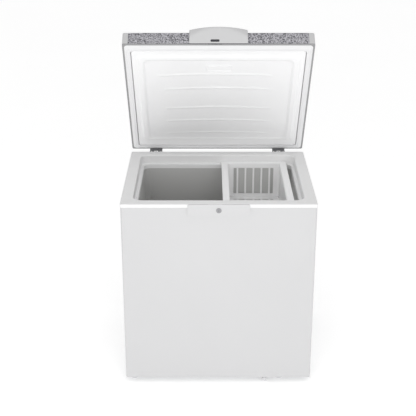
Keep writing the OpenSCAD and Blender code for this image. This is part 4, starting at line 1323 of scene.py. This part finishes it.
@dataclass
class Handle:
    """The handle over the front band, with the bezel of the strike's window and a dark strip under it as
    painted shadow.
    """

    spaces: Spaces
    half_w: float = 115.0
    seat_y: float = -6.0
    low: float = 796.4
    top: float = 858.0
    reach: float = 32.0
    end_reach: float = 14.0
    lip: float = 5.0
    window_x: tuple[float, float] = (-31.0, 3.0)
    window_z: tuple[float, float] = (802.5, 810.0)
    pocket: float = 9.0
    base_z: float = 794.0
    face_z: float = 813.0
    stations: tuple[float, ...] = (
        -115.0, -114.4, -113.0, -110.0, -100.0, -88.0, -76.0, -64.0, -52.0, -42.0, -31.0, -22.0, -14.0, -5.0,
        3.0, 12.0, 22.0, 34.0, 46.0, 58.0, 70.0, 82.0, 94.0, 104.0, 110.0, 113.0, 114.4, 115.0)

    def build(self) -> None:
        """Makes the sub-assembly's pieces."""
        self.shell()
        self.bezel()
        # Dark strip under the handle: painted shadow of the gap.
        self.painted_shadow_strip()

    def bow(self, x: float) -> float:
        """How far the lip stands out at a place across.

        Args:
            x: Place across.

        Returns:
            The distance from the seat.
        """
        sag = self.reach - self.end_reach
        radius = (self.half_w ** 2 + sag ** 2) / (2 * sag)
        return self.reach - radius + math.sqrt(radius ** 2 - x ** 2)

    def rise(self) -> float:
        """Height of the slanted face."""
        return self.top - self.lip - self.base_z

    def slant(self, z: float) -> float:
        """How far the slanted face stands out at a height."""
        return self.reach * (z - self.base_z) / self.rise()

    def section(self, x: float, inset: float) -> Ring:
        """The handle's section at a place across, from its low edge round the lip to the back of its top.

        Args:
            x: Place across.
            inset: How far the section is drawn in.

        Returns:
            The section's points.
        """
        bow, ease = self.bow(x) - inset, 3.0
        levels = [self.low + inset, 798.0 + inset * 0.5, 800.5, self.window_z[0], 806.0, self.window_z[1]]
        levels += [self.face_z + (self.top - self.lip - self.face_z) * k / 9 for k in range(10)]
        points = []
        for z in levels:
            slant = self.slant(z)
            close = max(ease - abs(slant - bow), 0.0) / ease
            out = min(slant, bow) - close * close * ease / 4
            points.append(Vector((x, self.seat_y - max(out - (inset if out > inset else 0.0) * 0.3, 0.2), z)))
        points += [Vector((x, self.seat_y - bow, self.top - 2.6)),
                   Vector((x, self.seat_y - bow + 0.8, self.top - 0.9 - inset * 0.3)),
                   Vector((x, self.seat_y - bow + 2.6, self.top - inset * 0.6)),
                   Vector((x, self.seat_y - bow * 0.4, self.top - inset * 0.6)),
                   Vector((x, self.seat_y, self.top - inset * 0.6))]
        return points

    def shell(self) -> None:
        """The moulding, as a closed form with a pocket for the strike's window."""
        xs = self.stations
        insets = {115.0: 2.6, 114.4: 1.2, 113.0: 0.3}
        columns = [self.section(x, insets.get(abs(x), 0.0)) for x in xs]
        form = Form(self.spaces.lid)
        count = len(columns[0])
        starts = [form.put(column) for column in columns]
        first, last = xs.index(self.window_x[0]), xs.index(self.window_x[1])
        deep = {}
        for i in range(first, last + 1):
            for j in (3, 4, 5):
                deep[i, j] = form.put([columns[i][j] + Vector((0, self.pocket, 0))])
        for i in range(len(xs) - 1):
            for j in range(count - 1):
                if first <= i < last and j in (3, 4):
                    form.faces.append([deep[i, j], deep[i + 1, j], deep[i + 1, j + 1], deep[i, j + 1]])
                else:
                    a, b = starts[i] + j, starts[i + 1] + j
                    form.faces.append([a, b, b + 1, a + 1])
            form.faces.append([starts[i], starts[i] + count - 1, starts[i + 1] + count - 1, starts[i + 1]])
        for i in range(first, last):
            for j in (3, 5):
                form.faces.append([starts[i] + j, starts[i + 1] + j, deep[i + 1, j], deep[i, j]])
        for i in (first, last):
            for j in (3, 4):
                form.faces.append([starts[i] + j, starts[i] + j + 1, deep[i, j + 1], deep[i, j]])
        form.faces.append([starts[0] + j for j in range(count)])
        form.faces.append([starts[-1] + j for j in reversed(range(count))])
        form.make("handle", "lid", HANDLE, ["handle_shell"])

    def bezel(self) -> None:
        """The dark bezel round the strike's window, on the slanted face."""
        lean = math.atan2(self.reach, self.rise())
        middle_z = sum(self.window_z) / 2
        middle = Vector((sum(self.window_x) / 2, self.seat_y - self.slant(middle_z), middle_z))
        face = self.spaces.lid @ Matrix.Translation(middle) @ Matrix.Rotation(math.pi / 2 + lean, 4, "X")
        half_x, half_z = 17.6, 4.9

        def ring(inset: float, out: float) -> Ring:
            """The bezel's outline, moved inwards and out of the face."""
            return rect_ring((-half_x + inset, -half_z + inset), (half_x - inset, half_z - inset),
                             half_z - inset - 0.2, out, 10)

        Form(face).loft([ring(0.4, -2.0), ring(0, 0.2), ring(0.3, 0.6), ring(0.9, 0.7), ring(1.7, 0.4),
                         ring(2.1, -0.6), ring(2.4, -4.2)], ends=True).make("strike_bezel", "lid", DARK)

    def painted_shadow_strip(self) -> None:
        """A dark strip between the handle's low edge and the lid's rim: painted shadow for the gap under the
        handle.
        """
        Form(self.spaces.lid).block((-self.half_w + 1.5, self.seat_y - 0.9, 794.9),
                                    (self.half_w - 1.5, self.seat_y + 0.6, self.low + 0.5),
                                    ).make("handle_painted_shadow_strip", "lid", DARK, ease=0.3)


@dataclass
class Basket:
    """The moulded basket: rim, slotted walls and a floor with rows of dashes."""

    spaces: Spaces
    rim_x: tuple[float, float] = (17.0, 299.0)
    rim_y: tuple[float, float] = (46.5, 580.5)
    rim_z: tuple[float, float] = (747.0, 757.0)
    wall_x: tuple[float, float] = (42.0, 274.0)
    wall_y: tuple[float, float] = (62.0, 565.0)
    floor_z: float = 597.0
    corner: float = 14.0
    sheet: float = 2.5
    pitch: float = 35.0
    bar: float = 8.0
    slot_z: tuple[float, float] = (613.0, 733.0)
    end_less: float = 14.0
    dash: float = 8.0
    dash_pitch: float = 20.0

    def starts(self, low: float, high: float) -> list[float]:
        """Starts of a row of slots, centred between two ends.

        Args:
            low: Lower end of the wall.
            high: Upper end.

        Returns:
            The rising starts.
        """
        count = math.floor((high - low - 2 * self.corner + self.bar) / self.pitch)
        start = (low + high) / 2 - (count * self.pitch - self.bar) / 2
        return [start + i * self.pitch for i in range(count)]

    def slots_x(self) -> list[tuple[float, float]]:
        """Slots across the basket, whose first and last are narrower."""
        slot = self.pitch - self.bar
        pairs = [(s, s + slot) for s in self.starts(*self.wall_x)]
        pairs[0] = (pairs[0][0] + self.end_less, pairs[0][1])
        pairs[-1] = (pairs[-1][0], pairs[-1][1] - self.end_less)
        return pairs

    def build(self) -> None:
        """Makes the basket as one moulding, and its row of pips."""
        form = Form(self.spaces.cabinet)
        self.walls(form)
        self.floor(form)
        form.make("hanging_basket", "basket", BASKET, ["storage_basket"], ease=0.45)
        self.rim()
        self.pips()

    def wall_ring(self, inset: float, z: float) -> Ring:
        """The walls' outline with points at every slot.

        Args:
            inset: Distance inside the walls' outer face.
            z: Height.

        Returns:
            The ring.
        """
        slot = self.pitch - self.bar
        xs = [v for pair in self.slots_x() for v in pair]
        ys = [v for s in self.starts(*self.wall_y) for v in (s, s + slot)]
        return rect_ring((self.wall_x[0] + inset, self.wall_y[0] + inset),
                         (self.wall_x[1] - inset, self.wall_y[1] - inset), self.corner - inset, z, 6, xs, ys)

    def walls(self, form: Form) -> None:
        """Adds the slotted walls.

        Args:
            form: The basket's form.
        """
        levels = [self.floor_z + self.sheet, self.slot_z[0], self.slot_z[0] + 60.0, self.slot_z[1],
                  self.rim_z[1] - 4]
        outer = [self.wall_ring(0.0, z) for z in levels]
        inner = [self.wall_ring(self.sheet, z) for z in levels]
        slot = self.pitch - self.bar
        x_slots, y_starts = self.slots_x(), self.starts(*self.wall_y)

        def keep(row: int, place: int) -> bool:
            """Whether the wall is solid at a cell.

            Args:
                row: Row of the cell.
                place: Place of the cell.

            Returns:
                True where there is wall.
            """
            if row not in (1, 2):
                return True
            here, after = outer[0][place], outer[0][(place + 1) % len(outer[0])]
            middle = (here + after) / 2
            if abs(here.y - after.y) < 0.01:
                return not any(a < middle.x < b for a, b in x_slots)
            if abs(here.x - after.x) < 0.01 and middle.x > sum(self.wall_x) / 2:
                return not any(s < middle.y < s + slot for s in y_starts)
            return True

        form.shell(outer, inner, keep, wrap=True)

    def floor(self, form: Form) -> None:
        """Adds the floor, with rows of dashes through it.

        Args:
            form: The basket's form.
        """
        x_slots = self.slots_x()
        rows = int((self.wall_y[1] - self.wall_y[0] - 40 - self.dash) // self.dash_pitch) + 1
        y_starts = [self.wall_y[0] + 20 + i * self.dash_pitch for i in range(rows)]
        xs = sorted({self.wall_x[0] + 0.1, self.wall_x[1] - 0.1, *(v for pair in x_slots for v in pair)})
        y_ends = [s + self.dash for s in y_starts]
        ys = sorted({self.wall_y[0] + 0.1, self.wall_y[1] - 0.1, *y_starts, *y_ends})
        pull = self.corner * 0.42

        def place(x: float, y: float, z: float) -> Vector:
            """A floor point, with the four corners drawn in under the walls' round corners.

            Args:
                x: Place across.
                y: Place from front to rear.
                z: Height.

            Returns:
                The point.
            """
            if x in (xs[0], xs[-1]) and y in (ys[0], ys[-1]):
                x += pull if x == xs[0] else -pull
                y += pull if y == ys[0] else -pull
            return Vector((x, y, z))

        top = [[place(x, y, self.floor_z + self.sheet) for x in xs] for y in ys]
        low = [[place(x, y, self.floor_z) for x in xs] for y in ys]

        def keep(row: int, cell: int) -> bool:
            """Whether the floor is solid at a cell.

            Args:
                row: Row of the cell.
                cell: Place of the cell.

            Returns:
                True where there is floor.
            """
            x, y = (xs[cell] + xs[cell + 1]) / 2, (ys[row] + ys[row + 1]) / 2
            return not (any(a < x < b for a, b in x_slots) and any(s < y < s + self.dash for s in y_starts))

        form.shell(top, low, keep)

    def rim(self) -> None:
        """The rim: a rounded outer skirt, a stepped grip and a rolled inner edge."""
        z0, z1 = self.rim_z

        def outer(inset: float, z: float) -> Ring:
            """The rim's outline, moved inwards."""
            return rect_ring((self.rim_x[0] + inset, self.rim_y[0] + inset),
                             (self.rim_x[1] - inset, self.rim_y[1] - inset), max(8.0 - inset, 1.5), z)

        def inner(grow: float, z: float) -> Ring:
            """The walls' outline, moved outwards."""
            return rect_ring((self.wall_x[0] - grow, self.wall_y[0] - grow),
                             (self.wall_x[1] + grow, self.wall_y[1] + grow), self.corner + grow, z)

        def between(share: float, z: float) -> Ring:
            """An outline part of the way from the outer one to the walls."""
            return [a.lerp(b, share) for a, b in zip(outer(0, z), inner(0, z))]

        Form(self.spaces.cabinet).loft([
            outer(2.6, z0 + 0.1), outer(0.5, z0 + 0.1), outer(0, z0 + 0.7), outer(0, z1 - 2.8),
            outer(0.7, z1 - 0.9), outer(2.4, z1), between(0.42, z1), between(0.5, z1 - 0.5),
            between(0.56, z1 - 1.7), between(0.9, z1 - 1.9),
            inner(0.6, z1 - 2.2), inner(-0.8, z1 - 3.0), inner(-1.6, z1 - 4.6), inner(-2.6, z1 - 5.0),
            inner(-2.6, z1 - 10.0), inner(0.2, z1 - 10.0), inner(0.4, z1 - 5.0), outer(2.8, z1 - 3.6)],
            closed=True).make("basket_rim", "basket", BASKET)

    def pips(self) -> None:
        """Small raised pips along the rear and right rims."""
        form = Form(self.spaces.cabinet)
        spots = [(self.wall_x[0] + 6 + 13.0 * i, self.rim_y[1] - 5.2) for i in range(18)]
        spots += [(self.rim_x[1] - 8.5, self.wall_y[0] + 14 + 22.0 * i) for i in range(22)]
        for x, y in spots:
            form.lathe([(2.3, -0.9), (2.3, -0.35), (1.7, -0.1), (0, 0)], (x, y, self.rim_z[1]), steps=14)
        form.make("basket_rim_pips", "basket", GREY)


@dataclass
class Studio:
    """Pale floor, soft light and the camera."""

    camera_at: tuple[float, float, float] = (-0.0414, -3.746611, 2.14151)
    pitch: float = math.radians(67.98)
    lens: float = 82.83
    world: float = 0.7
    floor_glow: float = 0.32

    def build(self) -> None:
        """Makes the stage, the lights and the camera."""
        scene = bpy.context.scene
        scene.view_settings.view_transform = "Standard"
        scene.view_settings.look = "None"
        self.air(scene)
        self.floor()
        self.light("front_softbox", (0.0, -3.2, 1.0), (0.0, 0.0, 0.9), 2.8, 40.0)
        self.light("top_softbox", (0.0, -1.2, 3.2), (0.0, 0.0, 0.8), 2.4, 6.0)
        camera = bpy.data.objects.new("camera", bpy.data.cameras.new("camera"))
        camera.data.lens = self.lens
        camera.data.sensor_width = 36.0
        camera.location = self.camera_at
        camera.rotation_euler = (self.pitch, 0.0, 0.0)
        scene.collection.objects.link(camera)
        scene.camera = camera

    def air(self, scene: bpy.types.Scene) -> None:
        """Sets an even white surround.

        Args:
            scene: The scene.
        """
        world = bpy.data.worlds.new("studio")
        world.use_nodes = True
        back = world.node_tree.nodes["Background"]
        back.inputs["Color"].default_value = (1.0, 1.0, 1.0, 1.0)
        back.inputs["Strength"].default_value = self.world
        scene.world = world

    def floor(self, half: float = 12.0) -> None:
        """The pale floor.

        Args:
            half: Half its width in metres.
        """
        mesh = bpy.data.meshes.new("studio_floor")
        corners = ((-half, -half), (half, -half), (half, half), (-half, half))
        mesh.from_pydata([(x, y, -0.001) for x, y in corners], [], [(0, 1, 2, 3)])
        floor = bpy.data.objects.new("studio_floor", mesh)
        bpy.context.scene.collection.objects.link(floor)
        recipe = Recipe("pale_floor")
        cloud = recipe.noise(0.7, 2)
        colour = recipe.blend(cloud, (0.93, 0.93, 0.93), (0.96, 0.96, 0.96))
        mesh.materials.append(recipe.shade({"Base Color": colour, "Roughness": 0.9,
                                            "Emission Color": (1.0, 1.0, 1.0, 1.0),
                                            "Emission Strength": self.floor_glow}))

    @staticmethod
    def light(name: str, at: Colour, towards: Colour, size: float, power: float) -> None:
        """A square softbox.

        Args:
            name: Its name.
            at: Where it stands.
            towards: What it faces.
            size: Its side in metres.
            power: Its power in watts.
        """
        lamp = bpy.data.lights.new(name, "AREA")
        lamp.shape = "SQUARE"
        lamp.size = size
        lamp.energy = power
        holder = bpy.data.objects.new(name, lamp)
        holder.location = at
        holder.rotation_euler = (Vector(towards) - Vector(at)).to_track_quat("-Z", "Y").to_euler()
        bpy.context.scene.collection.objects.link(holder)


def dress_frame(nodes: dict[str, bpy.types.Object]) -> None:
    """Gives the CAD nodes their finishes and eases the edges that show.

    Args:
        nodes: The CAD nodes by name.
    """
    for name, finish in CAD_FINISHES.items():
        node = nodes[name]
        node.data.materials.clear()
        node.data.materials.append(finish.build())
        if name in EASED_NODES:
            weld = node.modifiers.new("joined_edges", "WELD")
            weld.merge_threshold = WELD
            bevel = node.modifiers.new("eased_edges", "BEVEL")
            bevel.width = EASED_NODES[name] * MM
            bevel.segments = 2
            bevel.limit_method = "ANGLE"
            bevel.angle_limit = SMOOTH_ANGLE
            bevel.harden_normals = True
        log.info("%s wears %s", name, finish.name)


def main() -> None:
    """Builds the visual model round the frame."""
    logging.basicConfig(level=logging.INFO, format="%(message)s")
    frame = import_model()
    spaces = Spaces()
    dress_frame(frame["nodes"])
    for part in (Cabinet(spaces), Screws(spaces), MachineRoom(spaces), Feet(spaces), Lid(spaces),
                 Handle(spaces), Basket(spaces), Studio()):
        part.build()
        log.info("%s built", type(part).__name__)


if __name__ == "__main__":
    main()
